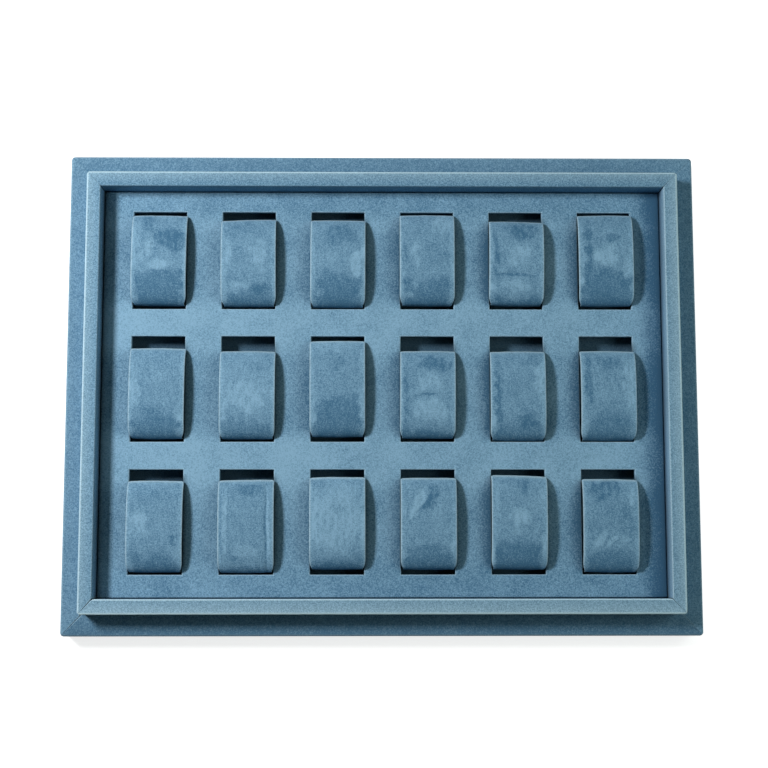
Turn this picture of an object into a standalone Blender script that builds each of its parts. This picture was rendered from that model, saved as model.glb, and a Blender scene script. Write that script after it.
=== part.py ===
"""Suede-covered watch display tray with loose springy cuffs.

Metres, +Z up. The front of the tray faces -Y, and the origin is the centre of its footprint on the table.
"""
import math

import bmesh
import bpy

# Slots in the insert, counted from the back row and from the left column
COLUMNS = 6
SLOT_WIDTH = 0.0315
COLUMN_WEB = 0.0214
ROW_WEB = 0.0163
SIDE_MARGIN = 0.0178
BACK_MARGIN = 0.0125
FRONT_MARGIN = 0.0136
FINGER_ROOM = (0.0050, 0.0090, 0.0075)

# Cuffs: a springy band, open at the bottom, in a padded suede cover
CUFF_LENGTH = 0.0535
CUFF_HEIGHT = 0.0219
CUFF_WAIST = 0.0127
CUFF_MOUTH = 0.0260
CROWN_SQUARENESS = 2.2
FOOT_SQUARENESS = 3.0
CUFF_SIDE_CLEARANCE = 0.0006
CUFF_OVERHANG = 0.0005
CUFF_FLARE = 0.0040
PAD_THICKNESS = 0.0019
PAD_CROWN = 0.0005
PAD_EDGE = 0.0009
PAD_SIDE_CLOTH = 0.0008
BAND_THICKNESS = 0.0013
PAD_RINGS = 16
BAND_RINGS = 14

# How each cuff lies: gap to the slot's front edge, spread beyond its length, shift right, turn in degrees
CUFF_LAY = (
    ((0.0020, 0.0008, 0.0002, -0.5), (0.0014, -0.0012, 0.0001, 0.3), (0.0009, -0.0008, 0.0001, -0.2),
     (0.0020, 0.0013, 0.0000, 0.0), (0.0021, -0.0027, 0.0000, -0.6), (0.0018, 0.0016, 0.0001, 0.3)),
    ((0.0016, 0.0002, 0.0002, -0.4), (0.0015, -0.0014, 0.0001, -0.2), (0.0027, 0.0036, 0.0000, 0.2),
     (0.0018, -0.0015, 0.0001, -0.3), (0.0006, -0.0005, 0.0001, 0.0), (0.0006, -0.0003, 0.0002, 0.0)),
    ((0.0013, -0.0002, 0.0002, -0.2), (0.0010, 0.0006, 0.0001, 0.2), (0.0028, 0.0004, 0.0002, 0.2),
     (0.0027, 0.0001, 0.0003, 0.0), (0.0027, 0.0014, 0.0001, -0.4), (0.0011, 0.0009, 0.0002, -0.3)),
)

# Rim and plinth: widths of the long rails at the front and back, and of the end rails at the left and right
RIM_WIDTH_LONG = 0.0088
RIM_WIDTH_END = 0.0083
FLANGE_REACH_LONG = 0.0130
FLANGE_REACH_END = 0.0124
RIM_RISE = 0.0159
FLANGE_HEIGHT = 0.0151
INSERT_SEAT = 0.0090
UNDER_TURN = 0.0100
RIM_CORNER = 0.0018
PLINTH_CORNER = 0.0022
CLOTH_EDGE = 0.0010
CORNER_STEPS = 2

# Layers
CLOTH = 0.0005
SEAM = 0.0003
FELT = 0.0005
FELT_INSET = 0.0025
BASE_BOARD = 0.0015
LINING = 0.0004
INSERT_BOARD = 0.0017
RIB_WIDTH = 0.0080

# Plan, worked out from the slots outwards
SLOT_LENGTHS = tuple(CUFF_LENGTH + room for room in FINGER_ROOM)
ROWS = len(SLOT_LENGTHS)
COLUMN_PITCH = SLOT_WIDTH + COLUMN_WEB
RECESS_X = COLUMNS * SLOT_WIDTH + (COLUMNS - 1) * COLUMN_WEB + 2 * SIDE_MARGIN
RECESS_Y = sum(SLOT_LENGTHS) + (ROWS - 1) * ROW_WEB + BACK_MARGIN + FRONT_MARGIN
RIM_X = RECESS_X + 2 * RIM_WIDTH_END
RIM_Y = RECESS_Y + 2 * RIM_WIDTH_LONG
PLINTH_X = RIM_X + 2 * FLANGE_REACH_END
PLINTH_Y = RIM_Y + 2 * FLANGE_REACH_LONG
CAVITY_X = RECESS_X - 2 * INSERT_SEAT
CAVITY_Y = RECESS_Y - 2 * INSERT_SEAT

# Heights, worked out from the table upwards
FELT_TOP = FELT
WRAP_BOTTOM = FELT_TOP + SEAM
BOARD_BOTTOM = FELT_TOP + SEAM
BOARD_TOP = BOARD_BOTTOM + BASE_BOARD
LINING_BOTTOM = BOARD_TOP + SEAM
LINING_TOP = LINING_BOTTOM + LINING
CUFF_SEAT = LINING_TOP + SEAM
PLINTH_RAIL_BOTTOM = WRAP_BOTTOM + CLOTH + SEAM
PLINTH_RAIL_TOP = FLANGE_HEIGHT - CLOTH - SEAM
INSERT_BOTTOM = PLINTH_RAIL_TOP + SEAM
INSERT_BOARD_TOP = INSERT_BOTTOM + INSERT_BOARD
INSERT_TOP = INSERT_BOARD_TOP + SEAM + CLOTH
RIM_BOTTOM = FLANGE_HEIGHT + SEAM
RIM_TOP = FLANGE_HEIGHT + RIM_RISE

# Half widths of a cuff where it stands in its slot and at its crown
CUFF_HALF_LOW = SLOT_WIDTH / 2 - CUFF_SIDE_CLEARANCE
CUFF_HALF_CROWN = SLOT_WIDTH / 2 + CUFF_OVERHANG
FLARE_START = INSERT_TOP + 2 * SEAM - CUFF_SEAT
CUFF_WALL = PAD_THICKNESS + SEAM + BAND_THICKNESS

# Finishes: colour, roughness
SUEDE = ((0.165, 0.315, 0.435), 0.95)
PADDED_SUEDE = ((0.190, 0.345, 0.465), 0.95)
DARK_LINING = ((0.120, 0.235, 0.330), 0.95)
FELT_FINISH = ((0.030, 0.045, 0.060), 0.97)
FIBREBOARD = ((0.420, 0.310, 0.200), 0.85)
GREYBOARD = ((0.360, 0.350, 0.330), 0.90)
SPRING_PLASTIC = ((0.040, 0.043, 0.048), 0.55)


def clear_scene():
    for item in list(bpy.data.objects):
        bpy.data.objects.remove(item, do_unlink=True)


def new_collection(name):
    collection = bpy.data.collections.new(name)
    bpy.context.scene.collection.children.link(collection)
    return collection


def add_node(collection, name, mesh, finish, parent=None):
    """Link a mesh as one named piece with a material of its own."""
    colour, roughness = finish
    material = bpy.data.materials.new(name)
    material.use_nodes = True
    shader = material.node_tree.nodes["Principled BSDF"]
    shader.inputs["Base Color"].default_value = (*colour, 1.0)
    shader.inputs["Roughness"].default_value = roughness
    shader.inputs["Metallic"].default_value = 0.0
    piece = bpy.data.objects.new(name, mesh)
    piece.data.materials.append(material)
    piece.parent = parent
    collection.objects.link(piece)
    return piece


def finish_mesh(bm, name, smooth_angle=None):
    """Turn a bmesh into a mesh with its faces pointing out."""
    bmesh.ops.recalc_face_normals(bm, faces=bm.faces)
    mesh = bpy.data.meshes.new(name)
    bm.to_mesh(mesh)
    bm.free()
    if smooth_angle is not None:
        mesh.shade_smooth()
        mesh.set_sharp_from_angle(angle=math.radians(smooth_angle))
    return mesh


def slab(name, size_x, size_y, bottom, top, y=0.0):
    """Flat board or sheet between two heights."""
    bm = bmesh.new()
    bmesh.ops.create_cube(bm, size=1.0)
    bmesh.ops.scale(bm, verts=bm.verts, vec=(size_x, size_y, top - bottom))
    bmesh.ops.translate(bm, verts=bm.verts, vec=(0.0, y, (bottom + top) / 2))
    return finish_mesh(bm, name)


def loft(name, rings, smooth_angle=None):
    """Closed solid through rings of equal point counts, with flat ends."""
    bm = bmesh.new()
    loops = [[bm.verts.new(point) for point in ring] for ring in rings]
    count = len(rings[0])
    for first, second in zip(loops, loops[1:]):
        for i in range(count):
            j = (i + 1) % count
            bm.faces.new((first[i], first[j], second[j], second[i]))
    bm.faces.new(loops[0])
    bm.faces.new(loops[-1])
    return finish_mesh(bm, name, smooth_angle)


def slot_places():
    """Row, column, centre x, front edge y and length of every slot."""
    places = []
    back = RECESS_Y / 2 - BACK_MARGIN
    for row, length in enumerate(SLOT_LENGTHS):
        for column in range(COLUMNS):
            x = (column - (COLUMNS - 1) / 2) * COLUMN_PITCH
            places.append((row, column, x, back - length, length))
        back -= length + ROW_WEB
    return places


def rib_places():
    """Middle of each web between two rows of slots, from the back."""
    middles = []
    back = RECESS_Y / 2 - BACK_MARGIN
    for length in SLOT_LENGTHS[:-1]:
        back -= length
        middles.append(back - ROW_WEB / 2)
        back -= ROW_WEB
    return middles


def slotted_sheet(name, size_x, size_y, bottom, top, slot_margin):
    """Flat sheet with a hole for every slot, each hole larger than its slot by a margin all round.

    A grid's lines are moved to the edges of the sheet and of the slots, and the cells in the slots come out.
    """
    lines_x, lines_y = [-size_x / 2, size_x / 2], [-size_y / 2, size_y / 2]
    for row, column, x, front, length in slot_places():
        if row == 0:
            lines_x += [x - SLOT_WIDTH / 2 - slot_margin, x + SLOT_WIDTH / 2 + slot_margin]
        if column == 0:
            lines_y += [front - slot_margin, front + length + slot_margin]
    lines_x.sort()
    lines_y.sort()
    cells_x, cells_y = len(lines_x) - 1, len(lines_y) - 1
    bm = bmesh.new()
    bmesh.ops.create_grid(bm, x_segments=cells_x, y_segments=cells_y, size=0.5)
    in_slots = []
    for face in bm.faces:
        middle = face.calc_center_median()
        if int((middle.x + 0.5) * cells_x) % 2 == 1 and int((middle.y + 0.5) * cells_y) % 2 == 1:
            in_slots.append(face)
    for corner in bm.verts:
        i, j = round((corner.co.x + 0.5) * cells_x), round((corner.co.y + 0.5) * cells_y)
        corner.co = (lines_x[i], lines_y[j], bottom)
    bmesh.ops.delete(bm, geom=in_slots, context="FACES")
    raised = bmesh.ops.extrude_face_region(bm, geom=bm.faces[:])["geom"]
    corners = [item for item in raised if isinstance(item, bmesh.types.BMVert)]
    bmesh.ops.translate(bm, verts=corners, vec=(0.0, 0.0, top - bottom))
    return finish_mesh(bm, name)


def mitred_rings(section, half_length, half_span, corner, own_width, next_width):
    """Rings of a frame's rail along X, outer face towards -Y, mitred at both ends round a corner radius.

    The section is a list of (depth from the outer face, height).
    """
    slope = (next_width - corner) / (own_width - corner)
    end = half_length - corner - SEAM / 2 * math.sqrt(2)
    half = []
    for step in range(CORNER_STEPS + 1):
        share = step / CORNER_STEPS
        angle = share * math.pi / 4
        ring = []
        for depth, height in section:
            if depth < corner:
                along = end + (corner - depth) * math.sin(angle)
                across = corner - (corner - depth) * math.cos(angle)
            else:
                along = end - (depth - corner) * slope - corner * (1 - share)
                across = depth
            ring.append((along, across - half_span, height))
        half.append(ring)
    mirrored = [[(-x, y, z) for x, y, z in ring] for ring in reversed(half)]
    return mirrored + half


def rounded_edge(top):
    """Outer top edge of a wrap: (depth from the outer face, height) from the face up on to the top."""
    edge = []
    for angle in (0, math.pi / 4, math.pi / 2):
        edge.append((CLOTH_EDGE * (1 - math.cos(angle)), top - CLOTH_EDGE * (1 - math.sin(angle))))
    return edge


def rim_wrap_section(width):
    """Suede over a rim rail: up the outer face, over the rounded edges and down the inner face."""
    outer = rounded_edge(RIM_TOP)
    inner = [(width - depth, height) for depth, height in reversed(outer)]
    return ([(0.0, RIM_BOTTOM)] + outer + inner + [(width, RIM_BOTTOM), (width - CLOTH, RIM_BOTTOM)]
            + [(width - CLOTH, RIM_TOP - CLOTH), (CLOTH, RIM_TOP - CLOTH), (CLOTH, RIM_BOTTOM)])


def rim_rail_section(width):
    inset = CLOTH + SEAM
    return [(inset, RIM_BOTTOM), (inset, RIM_TOP - inset), (width - inset, RIM_TOP - inset),
            (width - inset, RIM_BOTTOM)]


def plinth_wrap_section(top_width):
    """Suede over a plinth rail: under its bottom edge, up the outer face and over the top to the recess."""
    return ([(UNDER_TURN, WRAP_BOTTOM), (CLOTH_EDGE, WRAP_BOTTOM), (0.0, WRAP_BOTTOM + CLOTH_EDGE)]
            + rounded_edge(FLANGE_HEIGHT)
            + [(top_width, FLANGE_HEIGHT), (top_width, FLANGE_HEIGHT - CLOTH), (CLOTH, FLANGE_HEIGHT - CLOTH)]
            + [(CLOTH, WRAP_BOTTOM + CLOTH), (UNDER_TURN, WRAP_BOTTOM + CLOTH)])


def plinth_rail_section(width):
    inset = CLOTH + SEAM
    return [(inset, PLINTH_RAIL_BOTTOM), (inset, PLINTH_RAIL_TOP), (width, PLINTH_RAIL_TOP),
            (width, PLINTH_RAIL_BOTTOM)]


def add_frame_rails(collection):
    """The plinth's and the rim's four rails and their suede wraps, each mitred at its ends."""
    sides = {"front": (0, True), "right": (90, False), "back": (180, True), "left": (270, False)}
    for side, (turn, is_long) in sides.items():
        rim_own, rim_next = (RIM_WIDTH_LONG, RIM_WIDTH_END) if is_long else (RIM_WIDTH_END, RIM_WIDTH_LONG)
        reach_own, reach_next = FLANGE_REACH_LONG, FLANGE_REACH_END
        if not is_long:
            reach_own, reach_next = reach_next, reach_own
        rim_half = (RIM_X / 2, RIM_Y / 2) if is_long else (RIM_Y / 2, RIM_X / 2)
        plinth_half = (PLINTH_X / 2, PLINTH_Y / 2) if is_long else (PLINTH_Y / 2, PLINTH_X / 2)
        top_own, top_next = reach_own + rim_own, reach_next + rim_next
        plinth = (*plinth_half, PLINTH_CORNER, top_own, top_next)
        rim = (*rim_half, RIM_CORNER, rim_own, rim_next)
        pieces = (
            ("plinth_rail", plinth_rail_section(top_own + INSERT_SEAT), plinth, FIBREBOARD),
            ("plinth_wrap", plinth_wrap_section(top_own), plinth, SUEDE),
            ("rim_rail", rim_rail_section(rim_own), rim, FIBREBOARD),
            ("rim_wrap", rim_wrap_section(rim_own), rim, SUEDE),
        )
        for kind, section, frame, finish in pieces:
            name = f"{kind}_{side}"
            mesh = loft(name, mitred_rings(section, *frame), smooth_angle=40)
            rail = add_node(collection, name, mesh, finish)
            rail.rotation_euler.z = math.radians(turn)


def add_base(collection):
    """Felt underside, base board in the plinth frame, and the suede lining of the tray's floor."""
    felt = slab("underside_felt", PLINTH_X - 2 * FELT_INSET, PLINTH_Y - 2 * FELT_INSET, 0.0, FELT_TOP)
    add_node(collection, "underside_felt", felt, FELT_FINISH)
    size_x, size_y = CAVITY_X - 2 * SEAM, CAVITY_Y - 2 * SEAM
    add_node(collection, "base_board", slab("base_board", size_x, size_y, BOARD_BOTTOM, BOARD_TOP), GREYBOARD)
    add_node(collection, "floor_lining", slab("floor_lining", size_x, size_y, LINING_BOTTOM, LINING_TOP),
             DARK_LINING)
    for place, y in zip(("back", "front"), rib_places()):
        name = f"cross_rib_{place}"
        rib = slab(name, size_x, RIB_WIDTH, LINING_TOP + SEAM, INSERT_BOTTOM - SEAM, y)
        add_node(collection, name, rib, FIBREBOARD)


def add_insert(collection, cutters):
    """Slotted board, and the suede face whose edges turn down round the board and into every slot."""
    size_x, size_y = RECESS_X - 2 * SEAM, RECESS_Y - 2 * SEAM
    inset = CLOTH + SEAM
    board = slotted_sheet("insert_board", size_x - 2 * inset, size_y - 2 * inset, INSERT_BOTTOM,
                          INSERT_BOARD_TOP, inset)
    add_node(collection, "insert_board", board, GREYBOARD)
    face = slotted_sheet("insert_suede", size_x, size_y, INSERT_BOTTOM, INSERT_TOP, 0.0)
    suede = add_node(collection, "insert_suede", face, SUEDE)
    pocket = slotted_sheet("insert_pocket", size_x - 2 * CLOTH, size_y - 2 * CLOTH, INSERT_BOTTOM - CLOTH,
                           INSERT_TOP - CLOTH, CLOTH)
    cutter = bpy.data.objects.new("insert_pocket", pocket)
    cutter.hide_render = True
    cutter.display_type = "WIRE"
    cutters.objects.link(cutter)
    cut = suede.modifiers.new("board_pocket", "BOOLEAN")
    cut.operation = "DIFFERENCE"
    cut.solver = "EXACT"
    cut.object = cutter


def cuff_arch(length, ring_count):
    """Side view of a cuff from its front foot over the crown to its back foot: (y, z, normal y, normal z).

    The line is a squared ellipse above the waist, where the cuff is longest, and a squarer one below it,
    open over the mouth at the bottom, with its feet at height 0. The rings lie closer where it bends more.
    """
    half = length / 2
    mouth_share = CUFF_MOUTH / 2 / half
    drop = (1 - mouth_share ** FOOT_SQUARENESS) ** (1 / FOOT_SQUARENESS)
    crown_rise, foot_rise = CUFF_HEIGHT - CUFF_WAIST, CUFF_WAIST / drop
    opening = math.asin(mouth_share ** (FOOT_SQUARENESS / 2))

    def on_line(angle):
        c, s = math.cos(angle), math.sin(angle)
        n, rise = (CROWN_SQUARENESS, crown_rise) if s > 0 else (FOOT_SQUARENESS, foot_rise)
        y = half * math.copysign(abs(c) ** (2 / n), c)
        z = rise * math.copysign(abs(s) ** (2 / n), s)
        normal_y = math.copysign(abs(y / half) ** (n - 1) / half, y)
        normal_z = math.copysign(abs(z / rise) ** (n - 1) / rise, z)
        size = math.hypot(normal_y, normal_z)
        return y, z + CUFF_WAIST, normal_y / size, normal_z / size

    fine = 900
    first, sweep = -math.pi / 2 - opening, 2 * math.pi - 2 * opening
    angles = [first - sweep * i / fine for i in range(fine + 1)]
    points = [on_line(angle) for angle in angles]
    bend_weight = crown_rise
    travelled = [0.0]
    for a, b in zip(points, points[1:]):
        turn = math.acos(max(-1.0, min(1.0, a[2] * b[2] + a[3] * b[3])))
        travelled.append(travelled[-1] + math.hypot(b[0] - a[0], b[1] - a[1]) + bend_weight * turn)
    arch, i = [], 0
    for ring in range(ring_count):
        wanted = travelled[-1] * ring / (ring_count - 1)
        while i < fine and travelled[i] < wanted:
            i += 1
        arch.append(points[i])
    return arch


def cuff_half_width(height):
    """Half width of a cuff's cover: narrow in the slot, flaring to the crown above the insert."""
    share = max(0.0, min(1.0, (height - FLARE_START) / CUFF_FLARE))
    return CUFF_HALF_LOW + (CUFF_HALF_CROWN - CUFF_HALF_LOW) * share * share * (3 - 2 * share)


def pad_section(half_width):
    """Padded cover across the cuff: crowned outside, with sides that reach down past the band's edges."""
    inner = CUFF_HALF_LOW - PAD_SIDE_CLOTH
    right = [(half_width - PAD_EDGE, PAD_CROWN), (half_width, PAD_CROWN + PAD_EDGE), (half_width, CUFF_WALL),
             (inner, CUFF_WALL), (inner, PAD_THICKNESS)]
    return [(0.0, 0.0)] + right + [(-x, depth) for x, depth in reversed(right)]


def band_section(_):
    half_width = CUFF_HALF_LOW - PAD_SIDE_CLOTH - SEAM
    top = PAD_THICKNESS + SEAM
    return [(-half_width, top), (half_width, top), (half_width, CUFF_WALL), (-half_width, CUFF_WALL)]


def cuff_mesh(name, length, section, ring_count):
    rings = []
    for y, z, normal_y, normal_z in cuff_arch(length, ring_count):
        across = section(cuff_half_width(z))
        rings.append([(x, y - depth * normal_y, z - depth * normal_z) for x, depth in across])
    return loft(name, rings, smooth_angle=50)


def add_cuffs(collection):
    """A cuff in every slot. Each hangs from an empty on the vertical line along which it lifts out."""
    for row, column, x, front, _ in slot_places():
        gap, spread, shift, turn = CUFF_LAY[row][column]
        length = CUFF_LENGTH + spread
        label = f"r{row + 1}c{column + 1}"
        lift = bpy.data.objects.new(f"cuff_{label}", None)
        lift.location = (x + shift, front + gap + length / 2, CUFF_SEAT)
        lift.rotation_euler.z = math.radians(turn)
        collection.objects.link(lift)
        pad, band = f"cuff_pad_{label}", f"cuff_band_{label}"
        add_node(collection, pad, cuff_mesh(pad, length, pad_section, PAD_RINGS), PADDED_SUEDE, lift)
        add_node(collection, band, cuff_mesh(band, length, band_section, BAND_RINGS), SPRING_PLASTIC, lift)


def main():
    clear_scene()
    tray = new_collection("watch_tray")
    cutters = new_collection("cutters")
    add_base(tray)
    add_frame_rails(tray)
    add_insert(tray, cutters)
    add_cuffs(tray)


main()
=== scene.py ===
"""Finish of the suede watch tray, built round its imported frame.

Metres, +Z up, the front of the tray faces -Y. Every piece sits at the origin with its place in its mesh, and
rides on the body that carries it.
"""

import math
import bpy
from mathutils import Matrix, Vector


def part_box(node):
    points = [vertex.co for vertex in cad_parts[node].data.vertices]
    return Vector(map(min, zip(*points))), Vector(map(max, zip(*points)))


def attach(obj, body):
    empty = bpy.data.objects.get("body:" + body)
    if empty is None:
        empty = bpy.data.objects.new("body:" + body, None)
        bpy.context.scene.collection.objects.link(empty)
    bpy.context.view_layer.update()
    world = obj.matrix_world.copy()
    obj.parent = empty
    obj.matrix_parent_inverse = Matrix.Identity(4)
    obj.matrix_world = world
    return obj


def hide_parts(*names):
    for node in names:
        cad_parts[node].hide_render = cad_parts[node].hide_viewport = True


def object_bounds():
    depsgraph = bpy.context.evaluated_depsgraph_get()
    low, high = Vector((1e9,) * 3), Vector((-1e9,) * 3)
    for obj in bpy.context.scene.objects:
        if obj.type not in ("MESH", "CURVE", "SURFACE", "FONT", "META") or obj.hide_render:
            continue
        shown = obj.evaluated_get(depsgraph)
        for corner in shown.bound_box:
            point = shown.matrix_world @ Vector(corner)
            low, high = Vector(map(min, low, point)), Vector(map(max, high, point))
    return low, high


bl_info = {
    "name": "Suede Watch Tray",
    "version": (1, 0, 0),
    "blender": (4, 5, 0),
    "location": "3D View > Sidebar > Watch Tray",
    "description": "Dresses the watch tray's frame with suede wraps, a slotted insert and padded cuffs",
    "category": "Object",
}

import bmesh
import bpy
import numpy as np
from mathutils import Matrix, Vector

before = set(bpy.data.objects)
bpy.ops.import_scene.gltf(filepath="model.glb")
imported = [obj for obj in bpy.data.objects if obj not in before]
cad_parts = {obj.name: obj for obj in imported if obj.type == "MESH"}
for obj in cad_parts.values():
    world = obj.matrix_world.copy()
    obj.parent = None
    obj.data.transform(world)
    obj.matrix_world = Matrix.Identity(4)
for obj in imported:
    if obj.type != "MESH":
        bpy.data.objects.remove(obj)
CAD_LOW, CAD_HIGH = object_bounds()

SIDES = {"front": 0.0, "right": 90.0, "back": 180.0, "left": 270.0}
ROWS, COLUMNS = 3, 6
CUFFS = [f"r{row + 1}c{column + 1}" for row in range(ROWS) for column in range(COLUMNS)]
# Attributes that the suede reads: edge wear with painted sheen, the nap with painted light and shade in it, and
# painted shade
WEAR_AND_SHEEN_ATTRIBUTE = "edge"
NAP_AND_LIGHT_ATTRIBUTE = "nap"
PAINTED_SHADE_ATTRIBUTE = "shade"


def node_box(node):
    """Lowest and highest corner of a node of the frame, as plain numbers."""
    low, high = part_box(node)
    return tuple(low), tuple(high)


FLANGE_BOTTOM, FLANGE_TOP = (corner[2] for corner in node_box("plinth_wrap_front"))
RIM_BOTTOM, RIM_TOP = (corner[2] for corner in node_box("rim_wrap_front"))
INSERT_BOTTOM, INSERT_TOP = (corner[2] for corner in node_box("insert_suede"))


# Sizes and colours that can be changed in the sidebar
def length(name, description, default):
    return bpy.props.FloatProperty(name=name, description=description, default=default, unit="LENGTH")


def share(name, description, default):
    return bpy.props.FloatProperty(name=name, description=description, default=default)


def count(name, description, default):
    return bpy.props.IntProperty(name=name, description=description, default=default, min=1)


def colour(name, description, default):
    return bpy.props.FloatVectorProperty(name=name, description=description, default=default, size=3,
                                         subtype="COLOR", min=0.0, max=1.0)


class WrapSizes(bpy.types.PropertyGroup):
    cloth: length("Cloth", "Thickness of the suede", 0.0005)
    outer_round: length("Outer Rounding", "Radius of the wraps' outer top edge", 0.0012)
    inner_round: length("Inner Rounding", "Radius of the rim's inner top edge", 0.0008)
    rim_corner: length("Rim Corner", "Radius of the rim's corners seen from above", 0.0018)
    flange_corner: length("Flange Corner", "Radius of the flange's corners seen from above", 0.0022)
    seam_dip: length("Seam Dip", "How far the suede turns down at a mitre seam", 0.00022)
    lip: length("Slot Lip", "Radius of the suede's turn into a slot", 0.0007)


class CuffSizes(bpy.types.PropertyGroup):
    wall: length("Wall", "Thickness of a cuff with its band", 0.0035)
    pad: length("Pad", "Thickness of the padding over the band", 0.0019)
    crown: length("Crown", "How much lower the padding lies at its sides", 0.0003)
    edge: length("Edge Rounding", "Radius of the padding's long edges", 0.0007)
    side_cloth: length("Side Cloth", "Suede beside the band's edges", 0.0008)
    waist: length("Waist", "Height above its seat at which a cuff is longest", 0.0127)
    crown_squareness: share("Crown Squareness", "Exponent of the arch's squared ellipse above the waist", 2.7)
    foot_squareness: share("Foot Squareness", "Exponent of the arch's squared ellipse below the waist", 3.0)
    mouth: length("Mouth", "Opening between the cuff's feet", 0.0260)
    side_clearance: length("Side Clearance", "Room beside a cuff in its slot", 0.0006)
    overhang: length("Overhang", "How far the crown reaches past the slot's side", 0.0006)
    flare_front: length("Front Flare", "Height over which the cover widens at its front", 0.0048)
    flare_back: length("Back Flare", "Height over which the cover widens at its back", 0.0012)
    unevenness: length("Unevenness", "Hills and hollows of the padding", 0.00022)
    rings: count("Rings", "Rings along a cuff's arch", 190)


class SuedeColours(bpy.types.PropertyGroup):
    light: colour("Raised Pile", "Suede brushed towards the eye", (0.285, 0.495, 0.675))
    dark: colour("Laid Pile", "Suede brushed away from the eye", (0.064, 0.176, 0.300))
    # The edges' colour stands for wear and for painted sheen on the rounded edges
    edge: colour("Worn Edge and Sheen", "Suede on the edges", (0.650, 0.890, 1.000))
    grain: length("Grain", "Size of the suede's finest mottling", 0.0007)
    blotch: length("Blotch", "Size of the brushed patches", 0.0120)


class StudioLight(bpy.types.PropertyGroup):
    key_power: share("Key Power", "Watts of the lamp on the left", 5.7)
    key_length: length("Key Length", "Length of the lamp on the left, from front to back", 0.20)
    key_width: length("Key Width", "Width of the lamp on the left", 0.14)
    fill_power: share("Fill Power", "Watts of the soft panel on the right", 1.27)
    sky: share("Sky", "Strength of the even light from all round", 0.05)
    floor_glow: share("Floor Glow", "Share of the floor's white that needs no light", 0.78)


# Formulas in a node tree, written as they would be on paper
def formula(operation, swapped=False):
    """A method that makes a math node of a value and of the other numbers that it is given."""
    def joined(self, *others):
        numbers = (*others, self) if swapped else (self, *others)
        return self.tree.math(operation, *numbers)
    return joined


class Value:
    """A number inside a node tree."""

    __add__ = __radd__ = formula("ADD")
    __sub__, __rsub__ = formula("SUBTRACT"), formula("SUBTRACT", swapped=True)
    __mul__ = __rmul__ = formula("MULTIPLY")
    __truediv__, __rtruediv__ = formula("DIVIDE"), formula("DIVIDE", swapped=True)
    __pow__, __lt__, __gt__ = formula("POWER"), formula("LESS_THAN"), formula("GREATER_THAN")
    size, sign, whole = formula("ABSOLUTE"), formula("SIGN"), formula("FLOOR")
    sine, cosine = formula("SINE"), formula("COSINE")

    def __init__(self, tree, socket):
        self.tree, self.socket = tree, socket

    def __neg__(self):
        return self * -1.0

    def clamped(self):
        """Kept between 0 and 1."""
        return Value(self.tree, self.tree.add("ShaderNodeClamp", {"Value": self}).outputs[0])

    def eased(self):
        """A smooth step for a value that runs from 0 to 1."""
        held = self.clamped()
        return held * held * (3.0 - held * 2.0)


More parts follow.
